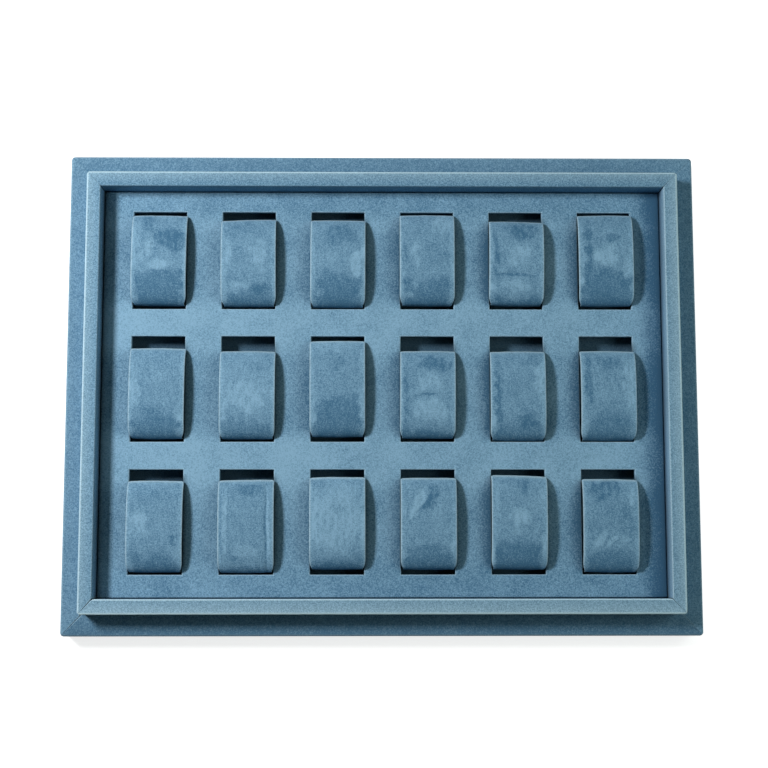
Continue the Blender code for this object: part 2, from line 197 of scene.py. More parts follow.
class Tree:
    """Builds one geometry or shader node tree with named inputs and outputs."""

    def __init__(self, node_tree):
        self.nodes, self.links = node_tree.nodes, node_tree.links
        self.node_tree = node_tree
        self.start = self.end = None

    @classmethod
    def group(cls, name, kind, inputs, outputs):
        """A new group, from the name of each input and output and its default number or its kind of socket."""
        node_tree = bpy.data.node_groups.new(name, kind)
        if kind == "GeometryNodeTree":
            node_tree.is_modifier = True
        for direction, sockets in (("INPUT", inputs), ("OUTPUT", outputs)):
            for label, given in sockets.items():
                socket_kind = NUMBER_SOCKETS.get(type(given), given)
                socket = node_tree.interface.new_socket(label, in_out=direction, socket_type=socket_kind)
                if socket_kind is not given:
                    socket.default_value = given
        tree = cls(node_tree)
        tree.start = tree.nodes.new("NodeGroupInput")
        tree.end = tree.nodes.new("NodeGroupOutput")
        return tree

    def given(self, label):
        """A named input of the group."""
        return Value(self, self.start.outputs[label])

    def give(self, label, value):
        """Set a named output of the group."""
        self._feed(value, self.end.inputs[label])

    def _feed(self, value, socket):
        if isinstance(value, Value):
            value = value.socket
        if isinstance(value, bpy.types.NodeSocket):
            self.links.new(value, socket)
        elif value is not None:
            socket.default_value = value

    def add(self, kind, inputs=None, **settings):
        """A node with its settings, and its inputs by name or by number."""
        node = self.nodes.new(kind)
        for name, value in settings.items():
            setattr(node, name, value)
        for name, value in (inputs or {}).items():
            self._feed(value, node.inputs[name])
        return node

    def math(self, operation, *values):
        node = self.add("ShaderNodeMath", dict(enumerate(values)), operation=operation)
        return Value(self, node.outputs[0])

    def vector(self, x=0.0, y=0.0, z=0.0):
        return self.add("ShaderNodeCombineXYZ", {"X": x, "Y": y, "Z": z}).outputs[0]

    def parts(self, vector):
        """The three numbers of a vector."""
        node = self.add("ShaderNodeSeparateXYZ", {0: vector})
        return [Value(self, socket) for socket in node.outputs]

    def noise(self, vector, size, detail=2.0, roughness=0.5, distortion=0.0):
        """Noise about 0, with features of a given size."""
        node = self.add("ShaderNodeTexNoise", {"Vector": vector, "Scale": 1.0 / size, "Detail": detail,
                                               "Roughness": roughness, "Distortion": distortion})
        return Value(self, node.outputs[0]) - 0.5

    def mix(self, amount, low, high):
        """A colour between two."""
        return self.add("ShaderNodeMix", {0: amount, 6: low, 7: high}, data_type="RGBA").outputs[2]

    def scaled(self, vector, factor):
        return self.add("ShaderNodeVectorMath", {0: vector, 3: factor}, operation="SCALE").outputs[0]

    def place(self, geometry, position=None, offset=None):
        return self.add("GeometryNodeSetPosition", {"Geometry": geometry, "Position": position,
                                                    "Offset": offset}).outputs[0]

    def row_of_points(self, number):
        """An open curve of points that a formula then places by their index."""
        line = self.add("GeometryNodeMeshLine", {"Count": number, "Offset": (0.0, 0.0, 1.0)})
        return self.add("GeometryNodeMeshToCurve", {"Mesh": line.outputs[0]}).outputs[0]

    def index(self):
        return Value(self, self.add("GeometryNodeInputIndex").outputs[0])

    def position(self):
        return self.add("GeometryNodeInputPosition").outputs[0]

    def by_index(self, values, kind):
        """One of a list of values, chosen by the point's index."""
        node = self.add("GeometryNodeIndexSwitch", {"Index": self.index()}, data_type=kind)
        while len(node.index_switch_items) < len(values):
            node.index_switch_items.new()
        for slot, value in enumerate(values):
            self._feed(value, node.inputs[1 + slot])
        return node.outputs[0]

    def capture(self, geometry, **numbers):
        """The geometry, and numbers that it carries along from here."""
        node = self.add("GeometryNodeCaptureAttribute", {"Geometry": geometry})
        for label in numbers:
            node.capture_items.new("FLOAT", label)
        for label, value in numbers.items():
            self.links.new(value.socket, node.inputs[label])
        return node.outputs[0], *(Value(self, node.outputs[label]) for label in numbers)

    def keep(self, geometry, label, value):
        """Store a number at every point under a name that materials can read."""
        named = {"Geometry": geometry, "Name": label, "Value": value}
        return self.add("GeometryNodeStoreNamedAttribute", named, data_type="FLOAT", domain="POINT").outputs[0]

    def faced(self, curve, normal):
        """A curve along which every section keeps one direction."""
        held = {"Curve": curve, "Normal": normal}
        return self.add("GeometryNodeSetCurveNormal", held, mode="FREE").outputs[0]

    def rounded(self, curve, radii, steps):
        """A curve whose corners have a radius each."""
        turn = {"Curve": curve, "Count": steps, "Radius": self.by_index(radii, "FLOAT")}
        return self.add("GeometryNodeFilletCurve", turn, mode="POLY").outputs[0]

    def largest(self, first, *others):
        for other in others:
            first = self.math("MAXIMUM", first, other)
        return first

    def dress(self, geometry, material):
        """Finish a geometry tree: real, smooth and with its material."""
        real = self.add("GeometryNodeRealizeInstances", {"Geometry": geometry})
        smooth = self.add("GeometryNodeSetShadeSmooth", {"Geometry": real.outputs[0]})
        named = self.add("GeometryNodeSetMaterial", {"Geometry": smooth.outputs[0], "Material": material})
        self.give("Mesh", named.outputs[0])


NUMBER_SOCKETS = {float: "NodeSocketFloat", int: "NodeSocketInt"}
COLOUR, FLOAT, MATERIAL = "NodeSocketColor", "NodeSocketFloat", "NodeSocketMaterial"
MESH = "NodeSocketGeometry"


# Objects
def new_object(name, mesh):
    """An object at the origin, linked to the scene."""
    piece = bpy.data.objects.new(name, mesh)
    bpy.context.scene.collection.objects.link(piece)
    return piece


def grown(name, node_tree, values):
    """The plain mesh that a geometry tree makes from named inputs, as an object at the origin."""
    piece = new_object(name, bpy.data.meshes.new(name))
    modifier = piece.modifiers.new("shape", "NODES")
    modifier.node_group = node_tree
    for item in node_tree.interface.items_tree:
        if item.in_out == "INPUT" and item.name in values:
            modifier[item.identifier] = values[item.name]
    return made_plain(piece)


def made_plain(piece):
    """Turn what a piece's modifiers make into its own plain mesh."""
    bpy.context.view_layer.update()
    depsgraph = bpy.context.evaluated_depsgraph_get()
    mesh = bpy.data.meshes.new_from_object(piece.evaluated_get(depsgraph), preserve_all_data_layers=True,
                                           depsgraph=depsgraph)
    piece.modifiers.clear()
    mesh.name = piece.name
    piece.data = mesh
    return piece


def points_of(mesh):
    """The points of a mesh, as rows of x, y and z."""
    points = np.empty(len(mesh.vertices) * 3)
    mesh.vertices.foreach_get("co", points)
    return points.reshape(-1, 3)


def move_points(mesh, points):
    mesh.vertices.foreach_set("co", points.ravel())
    mesh.update()


def keep_at_points(mesh, label, values):
    """Store a number at every point of a mesh under a name that materials can read."""
    layer = mesh.attributes.new(label, "FLOAT", "POINT")
    layer.data.foreach_set("value", values)


def turned(mesh, degrees):
    """Turn a mesh about the vertical axis through the origin."""
    angle = math.radians(degrees)
    c, s = math.cos(angle), math.sin(angle)
    turn = np.array(((c, -s, 0.0), (s, c, 0.0), (0.0, 0.0, 1.0)))
    move_points(mesh, points_of(mesh) @ turn.T)


def thickened(piece, thickness):
    """Give an open sheet of suede its thickness, inwards."""
    solid = piece.modifiers.new("cloth", "SOLIDIFY")
    solid.thickness = thickness
    solid.offset = -1.0
    solid.use_even_offset = True
    return made_plain(piece)


# Materials
# Gloss of every finish, since nothing on the tray shines
GLOSS = 0.15
# Colour that painted shade darkens the suede towards, standing for deep shadow
PAINTED_SHADE_BLACK = (0.002, 0.006, 0.010, 1.0)
# Width of the strokes that a hand leaves in the pile
STROKE_SIZE = 0.0045


def new_material(name):
    """A material, its tree and its shader."""
    material = bpy.data.materials.new(name)
    material.use_nodes = True
    return material, Tree(material.node_tree), material.node_tree.nodes["Principled BSDF"]


def matt(tree, shader, colour, roughness, height, bump):
    """Join a matt finish to its shader."""
    tree.links.new(colour, shader.inputs["Base Color"])
    tree.links.new(roughness, shader.inputs["Roughness"])
    raised = tree.add("ShaderNodeBump", {"Height": height, "Distance": bump})
    tree.links.new(raised.outputs[0], shader.inputs["Normal"])
    shader.inputs["Specular IOR Level"].default_value = GLOSS


def suede_group():
    """Suede's mottled pile: fine grain, brushed patches, strokes of the hand, edges paler from wear and painted
    sheen, painted light and shade through the nap, and painted shade that darkens it towards near-black.
    """
    inputs = {"Light": COLOUR, "Dark": COLOUR, "Edge Colour": COLOUR, "Grain Size": 0.0011, "Grain": 0.5,
              "Blotch Size": 0.012, "Blotch": 0.5, "Stroke": 0.3, "Lie": 0.0, "Nap": 0.0, "Edge": 0.0,
              "Shade": 0.0}
    outputs = {"Colour": COLOUR, "Height": FLOAT, "Roughness": FLOAT}
    tree = Tree.group("suede_pile", "ShaderNodeTree", inputs, outputs)
    place = tree.add("ShaderNodeTexCoord").outputs["Object"]
    grain = tree.noise(place, tree.given("Grain Size"), 3.0, 0.62)
    blotch = tree.noise(place, tree.given("Blotch Size"), 4.0, 0.55, 0.4)
    x, y, z = tree.parts(place)
    along = tree.vector(x * 2.2 + y * 0.4, y * 0.55, z)
    stroke = tree.noise(along, STROKE_SIZE, 3.0, 0.6, 0.6)
    # The nap attribute brings painted light and shade into the pile along with the nap's own lie
    pile = (0.5 + grain * tree.given("Grain") * 2.0 + blotch * tree.given("Blotch") * 2.0
            + stroke * tree.given("Stroke") * 2.0 + tree.given("Lie") + tree.given("Nap")).clamped()
    brushed = tree.mix(pile, tree.given("Dark"), tree.given("Light"))
    # Edges paler from wear and from painted sheen
    edge = (tree.given("Edge") * (0.85 + grain * 0.9)).clamped()
    worn_and_sheen = tree.mix(edge, brushed, tree.given("Edge Colour"))
    # Painted shade: the shade attribute darkens the colour towards near-black
    tree.give("Colour", tree.mix(tree.given("Shade").clamped(), worn_and_sheen, PAINTED_SHADE_BLACK))
    tree.give("Height", grain + stroke * 0.4)
    tree.give("Roughness", 0.92 + grain * 0.08)
    return tree.node_tree


def suede_material(name, group, colours, grain, blotch, stroke, nap=0.0, shade=1.0, bump=0.00018):
    """Suede made of the pile group, with its own contrast, lie of the nap and depth of colour."""
    material, tree, shader = new_material(name)
    pile = tree.add("ShaderNodeGroup")
    pile.node_tree = group
    for label, value in (("Light", colours.light), ("Dark", colours.dark), ("Edge Colour", colours.edge)):
        pile.inputs[label].default_value = (*(part * shade for part in value), 1.0)
    for label, value in (("Grain Size", colours.grain), ("Grain", grain), ("Blotch Size", colours.blotch),
                         ("Blotch", blotch), ("Stroke", stroke), ("Lie", nap)):
        pile.inputs[label].default_value = value
    for label, attribute in (("Nap", NAP_AND_LIGHT_ATTRIBUTE), ("Edge", WEAR_AND_SHEEN_ATTRIBUTE), ("Shade", PAINTED_SHADE_ATTRIBUTE)):
        read = tree.add("ShaderNodeAttribute", attribute_name=attribute)
        tree.links.new(read.outputs["Fac"], pile.inputs[label])
    matt(tree, shader, pile.outputs["Colour"], pile.outputs["Roughness"], pile.outputs["Height"], bump)
    return material


def plain_material(name, low, high, grain_size, roughness, bump=0.0001):
    """Board, felt or plastic: two near colours mottled by noise."""
    material, tree, shader = new_material(name)
    place = tree.add("ShaderNodeTexCoord").outputs["Object"]
    grain = (tree.noise(place, grain_size, 4.0, 0.6) * 1.6 + 0.5).clamped()
    mottled = tree.mix(grain, (*low, 1.0), (*high, 1.0))
    matt(tree, shader, mottled, (grain * 0.1 + (roughness - 0.05)).socket, grain, bump)
    return material


# Suede wraps of the frame: the gap at each mitre seam, the seams at each side's two ends, and how the nap of
# each side lies on the rim, at the flange's outer edge, by the rim and on the rim's inner wall, partly its own
# tone and partly
# painted light and shade: painted shade on the front flange's outer part, painted light on the right rim's
# inner wall
SEAM_GAPS = {"front_left": 0.00028, "front_right": 0.00014, "back_right": 0.00010, "back_left": 0.00005}
CORNERS_OF = {"front": ("front_left", "front_right"), "right": ("front_right", "back_right"),
              "back": ("back_right", "back_left"), "left": ("back_left", "front_left")}
WRAP_NAP_AND_LIGHT = {"front": (-0.04, -0.55, 0.14, 0.0), "right": (-0.07, -0.22, -0.22, 0.60),
            "back": (-0.16, -0.24, -0.24, 0.0), "left": (-0.03, -0.13, -0.13, 0.0)}
# Wear and painted sheen of each rim's outer and inner top edge and of the flange's outer edge, and the painted
# shade that makes the front flange darker at its outer edge
RIM_WEAR_AND_SHEEN = {"front": (1.60, 1.20), "right": (1.40, 0.70), "back": (1.10, 0.12), "left": (1.00, 0.30)}
FLANGE_WEAR_AND_SHEEN, FRONT_FLANGE_PAINTED_SHADE = 0.30, 0.20
# Hidden edges: how far the suede turns in under the rim and the plinth, the share of the flange's inner wall
# that it covers, the radius there and the radius at the foot
TURN_UNDER_RIM, TURN_UNDER_PLINTH, FLANGE_INNER_WALL = 0.0006, 0.010, 0.05
HIDDEN_EDGE, FOOT_EDGE = 0.0003, 0.0004
# How far past a rounding an extra point lies, so that the flat top and side aren't shaded as if they curved
PAST_ROUNDING = 0.0002
# Gap at the outer end of a seam, the depth over which it opens, and the gap of a seam that turns down in full
SMALLEST_GAP, SEAM_RUN_IN, WHOLE_SEAM = 0.00002, 0.0016, 0.0002
# Wear and painted sheen beside a seam that is open in full, and beside a closed one
SEAM_WEAR_AND_SHEEN, CLOSED_SEAM_WEAR_AND_SHEEN = 0.34, 0.05
# How far below the top the painted light of the inner wall starts, and the height over which it does
WALL_LIGHT_START, WALL_LIGHT_FADE = 0.0004, 0.0008
# How far a mitred end is set back for each part of its seam's gap: the sine of 45 degrees
SLANT = 0.7071
CORNER_RINGS, LONG_RINGS = 9, 60


def wrap_tree():
    """One rail's wrap along +X, its outer face at -Y: a folded section carried along the rail and mitred."""
    inputs = {"Half Length": 0.18, "Half Span": 0.14, "Width": 0.0088, "Next Width": 0.0083, "Bottom": 0.0,
              "Top": 0.03, "Under Turn": 0.0, "Inner Wall": 1.0, "Outer Rounding": 0.0012,
              "Inner Rounding": 0.0008, "Corner": 0.0016, "Seam Dip": 0.0003, "Left Seam": 0.0002,
              "Right Seam": 0.0002, "Outer Wear": 1.0, "Inner Wear": 0.4, "Outer Nap": 0.0, "Inner Nap": 0.0,
              "Nap Span": 0.01, "Wall Nap": 0.0, "Outer Shade": 0.0, "Corner Rings": 9, "Long Rings": 60,
              "Material": MATERIAL}
    tree = Tree.group("mitred_wrap", "GeometryNodeTree", inputs, {"Mesh": MESH})
    g = tree.given
    width, top, bottom = g("Width"), g("Top"), g("Bottom")
    # Section across the rail, depth from the outer face and height
    inner_foot = top - (top - bottom) * g("Inner Wall")
    outer_end = g("Outer Rounding") + PAST_ROUNDING
    inner_end = width - g("Inner Rounding") - PAST_ROUNDING
    corners = [tree.vector(depth, height) for depth, height in
               ((g("Under Turn"), bottom), (0.0, bottom), (0.0, top - outer_end), (0.0, top), (outer_end, top),
                (inner_end, top), (width, top), (width, inner_foot))]
    section = tree.place(tree.row_of_points(8), tree.by_index(corners, "VECTOR"))
    radii = [0.0, FOOT_EDGE, 0.0, g("Outer Rounding"), 0.0, 0.0, g("Inner Rounding"), 0.0]
    section = tree.rounded(section, radii, 7)
    # Rings along the rail: their share of the turn at a corner, and their place along the straight
    number, turns = g("Long Rings"), g("Corner Rings")
    total = number + turns * 2.0
    i = tree.index()
    from_left, from_right = turns - i, i - (number + turns - 1.0)
    turn_share = (tree.math("MAXIMUM", from_left, from_right) / turns).clamped()
    run = ((i - turns) / (number - 1.0)).clamped() * 2.0 - 1.0
    path = tree.place(tree.row_of_points(total), tree.vector(i, 0.0, 0.0))
    path, turn_share, run = tree.capture(path, turn=turn_share, run=run)
    path = tree.faced(path, (0.0, 1.0, 0.0))
    mesh = tree.add("GeometryNodeCurveToMesh", {"Curve": path, "Profile Curve": section}).outputs[0]
    mesh = tree.add("GeometryNodeFlipFaces", {"Mesh": mesh}).outputs[0]
    # Every point goes to its place round the corner or along the mitre
    _, depth, height = tree.parts(tree.position())
    corner = g("Corner")
    slope = (g("Next Width") - corner) / (width - corner)
    seam_gap = g("Left Seam") + (g("Right Seam") - g("Left Seam")) * (run > 0.0)
    gap = SMALLEST_GAP + (seam_gap - SMALLEST_GAP) * ((depth - corner * 0.4) / SEAM_RUN_IN).eased()
    end = g("Half Length") - corner - gap * SLANT
    angle = turn_share * (math.pi / 4)
    in_corner = depth < corner
    left_over = corner - depth
    along_round = end + left_over * angle.sine()
    across_round = corner - left_over * angle.cosine()
    along_mitre = end + left_over * slope - corner * (1.0 - turn_share)
    along = along_mitre + (along_round - along_mitre) * in_corner
    across = depth + (across_round - depth) * in_corner
    placed = tree.place(mesh, tree.vector(along * run, across - g("Half Span"), height))
    # The suede turns down at the seam
    _, y, z = tree.parts(tree.position())
    across_now = y + g("Half Span")
    openness = seam_gap / WHOLE_SEAM * ((across_now - corner * 0.4) / SEAM_RUN_IN).eased()
    normal = tree.add("GeometryNodeInputNormal").outputs[0]
    turned_in = ((turn_share - 0.45) / 0.55).clamped()
    down = turned_in * turned_in * g("Seam Dip") * openness * -1.0
    placed = tree.place(placed, None, tree.scaled(normal, down))
    # Edge wear and painted sheen: strongest on the outer top edge, weaker on the inner one and beside the seams
    below, to_inner = top - z, width - across_now
    far_outer = tree.math("SQRT", across_now * across_now + below * below) / (g("Outer Rounding") * 0.85)
    far_inner = tree.math("SQRT", to_inner * to_inner + below * below) / (g("Inner Rounding") * 0.8)
    outer_edge = g("Outer Wear") / (1.0 + far_outer ** 4.0)
    inner_edge = g("Inner Wear") / (1.0 + far_inner ** 4.0)
    beside_seam = ((turn_share - 0.35) / 0.25).clamped() * ((1.0 - turn_share) / 0.2).clamped()
    edge = tree.largest(outer_edge, inner_edge, beside_seam * (openness * SEAM_WEAR_AND_SHEEN + CLOSED_SEAM_WEAR_AND_SHEEN))
    worn_and_sheen = tree.keep(placed, WEAR_AND_SHEEN_ATTRIBUTE, edge)
    # The nap lies one way by the outer edge and another by the inner one, with painted light and shade in it,
    # and painted light lies on the inner wall
    inwards = (across_now / g("Nap Span")).clamped()
    on_wall = ((below - WALL_LIGHT_START) / WALL_LIGHT_FADE).clamped() * (across_now > width * 0.5)
    nap = g("Outer Nap") + (g("Inner Nap") - g("Outer Nap")) * inwards + g("Wall Nap") * on_wall
    napped = tree.keep(worn_and_sheen, NAP_AND_LIGHT_ATTRIBUTE, nap)
    # Painted shade, darker towards the outer edge, on the front flange
    tree.dress(tree.keep(napped, PAINTED_SHADE_ATTRIBUTE, g("Outer Shade") * (1.0 - inwards)), g("Material"))
    return tree.node_tree


class TRAY_OT_wraps(bpy.types.Operator):
    """Wrap the plinth's and the rim's rails in suede, mitred at the corners"""

    bl_idname = "tray.wraps"
    bl_label = "Wrap Frame in Suede"

    def execute(self, context):
        sizes = context.scene.tray_wraps
        tree = wrap_tree()
        rim, plinth = outer_sizes("rim_wrap"), outer_sizes("plinth_wrap")
        for side, turn in SIDES.items():
            is_long = side in ("front", "back")
            order = slice(None) if is_long else slice(None, None, -1)
            rim_half, plinth_half = rim[order], plinth[order]
            rim_width = wall_width("rim_wrap", side)
            next_width = wall_width("rim_wrap", "right" if is_long else "front")
            reach, next_reach = plinth_half[1] - rim_half[1], plinth_half[0] - rim_half[0]
            left_seam, right_seam = (SEAM_GAPS[corner] for corner in CORNERS_OF[side])
            rim_nap, flange_outer, flange_inner, wall_painted_light = WRAP_NAP_AND_LIGHT[side]
            common = {"Outer Rounding": sizes.outer_round, "Seam Dip": sizes.seam_dip, "Left Seam": left_seam,
                      "Right Seam": right_seam, "Corner Rings": CORNER_RINGS, "Long Rings": LONG_RINGS}
            pieces = (
                ("rim_suede", "rim_wrap", rim_half, "suede_rim",
                 {"Width": rim_width, "Next Width": next_width, "Bottom": RIM_BOTTOM, "Top": RIM_TOP,
                  "Under Turn": TURN_UNDER_RIM, "Inner Wall": 1.0, "Inner Rounding": sizes.inner_round,
                  "Corner": sizes.rim_corner, "Outer Nap": rim_nap, "Inner Nap": rim_nap, "Wall Nap": wall_painted_light,
                  "Outer Wear": RIM_WEAR_AND_SHEEN[side][0], "Inner Wear": RIM_WEAR_AND_SHEEN[side][1]}),
                ("flange_suede", "plinth_wrap", plinth_half, "suede_flange",
                 {"Width": reach + rim_width, "Next Width": next_reach + next_width,
                  "Bottom": FLANGE_BOTTOM, "Top": FLANGE_TOP, "Under Turn": TURN_UNDER_PLINTH,
                  "Inner Wall": FLANGE_INNER_WALL, "Inner Rounding": HIDDEN_EDGE,
                  "Corner": sizes.flange_corner, "Outer Nap": flange_outer, "Inner Nap": flange_inner,
                  "Nap Span": reach, "Outer Wear": FLANGE_WEAR_AND_SHEEN, "Inner Wear": 0.0,
                  "Outer Shade": FRONT_FLANGE_PAINTED_SHADE if side == "front" else 0.0}),
            )
            for name, node, half, material, values in pieces:
                values.update(common)
                values.update({"Half Length": half[0], "Half Span": half[1],
                               "Material": bpy.data.materials[material]})
                piece = grown(f"{name}_{side}", tree, values)
                turned(piece.data, turn)
                piece = thickened(piece, sizes.cloth)
                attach(piece, "tray")
                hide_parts(f"{node}_{side}")
        return {"FINISHED"}


def outer_sizes(kind):
    """Half the outer length and half the outer depth of the frame that four wraps make."""
    return (node_box(f"{kind}_right")[1][0], node_box(f"{kind}_back")[1][1])


def wall_width(kind, side):
    """Width of a rail's wrap, across the rail."""
    low, high = node_box(f"{kind}_{side}")
    return high[1] - low[1] if side in ("front", "back") else high[0] - low[0]


# Insert
LIP_STEPS = 7
# Height of a face's normal above which the face is level
LEVEL = 0.9999


def slot_boxes():
    """Left, right, front and back edge of every slot, read from the insert's suede in the frame."""
    points = points_of(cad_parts["insert_suede"].data)
    upper = points[points[:, 2] > INSERT_TOP - 1e-5]
    lines_x, lines_y = (np.unique(np.round(upper[:, axis], 5))[1:-1] for axis in (0, 1))
    boxes = {}
    for row in range(ROWS):
        for column in range(COLUMNS):
            left, right = lines_x[2 * column], lines_x[2 * column + 1]
            front, back = lines_y[2 * (ROWS - 1 - row)], lines_y[2 * (ROWS - 1 - row) + 1]
            boxes[f"r{row + 1}c{column + 1}"] = (left, right, front, back)
    return boxes


def lip_rings(lines_x, lines_y, radius, outwards):
    """Rings that roll from the insert's flat top over a lip and down, round a slot or round the sheet. A ring
    has a point at each line, and its outermost lines are the edges."""
    rings = []
    for step in range(LIP_STEPS + 1):
        angle = math.pi / 2 * step / LIP_STEPS
        rings.append((radius * (1 - math.sin(angle)) * outwards, INSERT_TOP - radius * (1 - math.cos(angle))))
    rings.append((0.0, INSERT_BOTTOM))
    loops = []
    for reach, height in rings:
        xs = [lines_x[0] - reach, *lines_x[1:-1], lines_x[-1] + reach]
        ys = [lines_y[0] - reach, *lines_y[1:-1], lines_y[-1] + reach]
        around = ([(x, ys[0]) for x in xs] + [(xs[-1], y) for y in ys[1:]]
                  + [(x, ys[-1]) for x in reversed(xs[:-1])] + [(xs[0], y) for y in reversed(ys[1:-1])])
        loops.append([(x, y, height) for x, y in around])
    return loops


# The panel's nap, with painted light and shade in it: painted light between two rows of cuffs, painted shade
# left of each column's cuffs and by the right wall, darker outside the rows, and painted light paler to the
# left
LIGHT_PAINTED_BETWEEN_ROWS, SHADE_PAINTED_LEFT_OF_CUFF, SHADE_PAINTED_BY_RIGHT_WALL = 0.24, (0.0, -0.10, -0.28, -0.38, -0.74, -0.56), -0.90
OUTSIDE_ROWS, LIGHT_PAINTED_TO_THE_LEFT = -0.10, 0.12
# Distances over which the painted light and shade change: at a row's ends, left of a cuff, by the right wall
# and to the left
ROW_FADE, CUFF_FADE, WALL_FADE, LEFT_FADE = 0.012, 0.0085, 0.014, 0.12
# Size of the panel's cells, and wear and painted sheen of the slots' edges
CELL, SLOT_WEAR_AND_SHEEN = 0.003, 0.35
# Wandering of the panel's nap: lengths of the waves in millimetres and their amounts
PANEL_DRIFT = (60.0, 0.05), (24.0, 0.05)
# Painted shade close beside the cuffs and the side walls: how far it reaches, over what distance it ends
# towards a cuff's front and back, and its strength right of a cuff, left of one from the fourth column on, and
# by the left and right wall
PAINTED_SHADE_REACH, PAINTED_SHADE_END = 0.0048, 0.005
RIGHT_OF_CUFF_PAINTED_SHADE = {"r1": 0.80, "r2": 0.70, "r3": 0.95}
LEFT_OF_CUFF_PAINTED_SHADE, LEFT_WALL_PAINTED_SHADE, RIGHT_WALL_PAINTED_SHADE = 0.30, 0.85, 0.40


def between(lines, step):
    """The lines, with more between them so that none are further apart than a step."""
    fine = [lines[0]]
    for first, second in zip(lines, lines[1:]):
        number = max(1, math.ceil((second - first) / step))
        fine += [first + (second - first) * share / number for share in range(1, number + 1)]
    return fine


def smooth_step(value):
    held = np.clip(value, 0.0, 1.0)
    return held * held * (3 - 2 * held)


def panel_nap_and_light(x, y, slots):
    """Painted light and shade at points of the panel, with the random drift of its nap."""
    nap = np.zeros(len(x))
    beside = np.zeros(len(x))
    for label, (left, right, front, back) in slots.items():
        along = smooth_step((y - front + 0.002) / ROW_FADE) * smooth_step((back - 0.004 - y) / ROW_FADE)
        beside = np.maximum(beside, along)
        near = np.clip(1 - (left - x) / CUFF_FADE, 0.0, 1.0) * (x < left + 0.002)
        nap += SHADE_PAINTED_LEFT_OF_CUFF[int(label[-1]) - 1] * near ** 1.3 * along
    inner = smooth_step((y - slots["r3c1"][2]) / ROW_FADE) * smooth_step((slots["r1c1"][3] - y) / ROW_FADE)
    nap += (OUTSIDE_ROWS + (LIGHT_PAINTED_BETWEEN_ROWS - OUTSIDE_ROWS) * inner) * (1 - beside)
    wall = node_box("rim_wrap_right")[0][0]
    nap += SHADE_PAINTED_BY_RIGHT_WALL * np.clip(1 - (wall - x) / WALL_FADE, 0.0, 1.0)
    nap += LIGHT_PAINTED_TO_THE_LEFT * np.clip(-x / LEFT_FADE, 0.0, 1.0) * (1 - beside)
    drift, _ = wander(x * 1000, y * 1000, PANEL_DRIFT, 5)
    return nap + drift


def panel_painted_shade(x, y, slots):
    """Painted shade on the panel, close beside the cuffs and the side walls."""
    shade = np.zeros(len(x))
    for label, (left, right, front, back) in slots.items():
        along = smooth_step((y - front - 0.001) / PAINTED_SHADE_END) * smooth_step((back - 0.002 - y) / PAINTED_SHADE_END)
        strips = [(x - right, RIGHT_OF_CUFF_PAINTED_SHADE[label[:2]])]
        if int(label[-1]) > COLUMNS // 2:
            strips.append((left - x, LEFT_OF_CUFF_PAINTED_SHADE))
        for distance, strength in strips:
            near = np.clip(1 - distance / PAINTED_SHADE_REACH, 0.0, 1.0) ** 2.5 * (distance > -0.001)
            shade = np.maximum(shade, strength * near * along)
    for wall, strength in ((node_box("rim_wrap_left")[1][0], LEFT_WALL_PAINTED_SHADE),
                           (node_box("rim_wrap_right")[0][0], RIGHT_WALL_PAINTED_SHADE)):
        near = np.clip(1 - np.abs(x - wall) / PAINTED_SHADE_REACH, 0.0, 1.0) ** 1.5
        shade = np.maximum(shade, strength * near)
    return shade


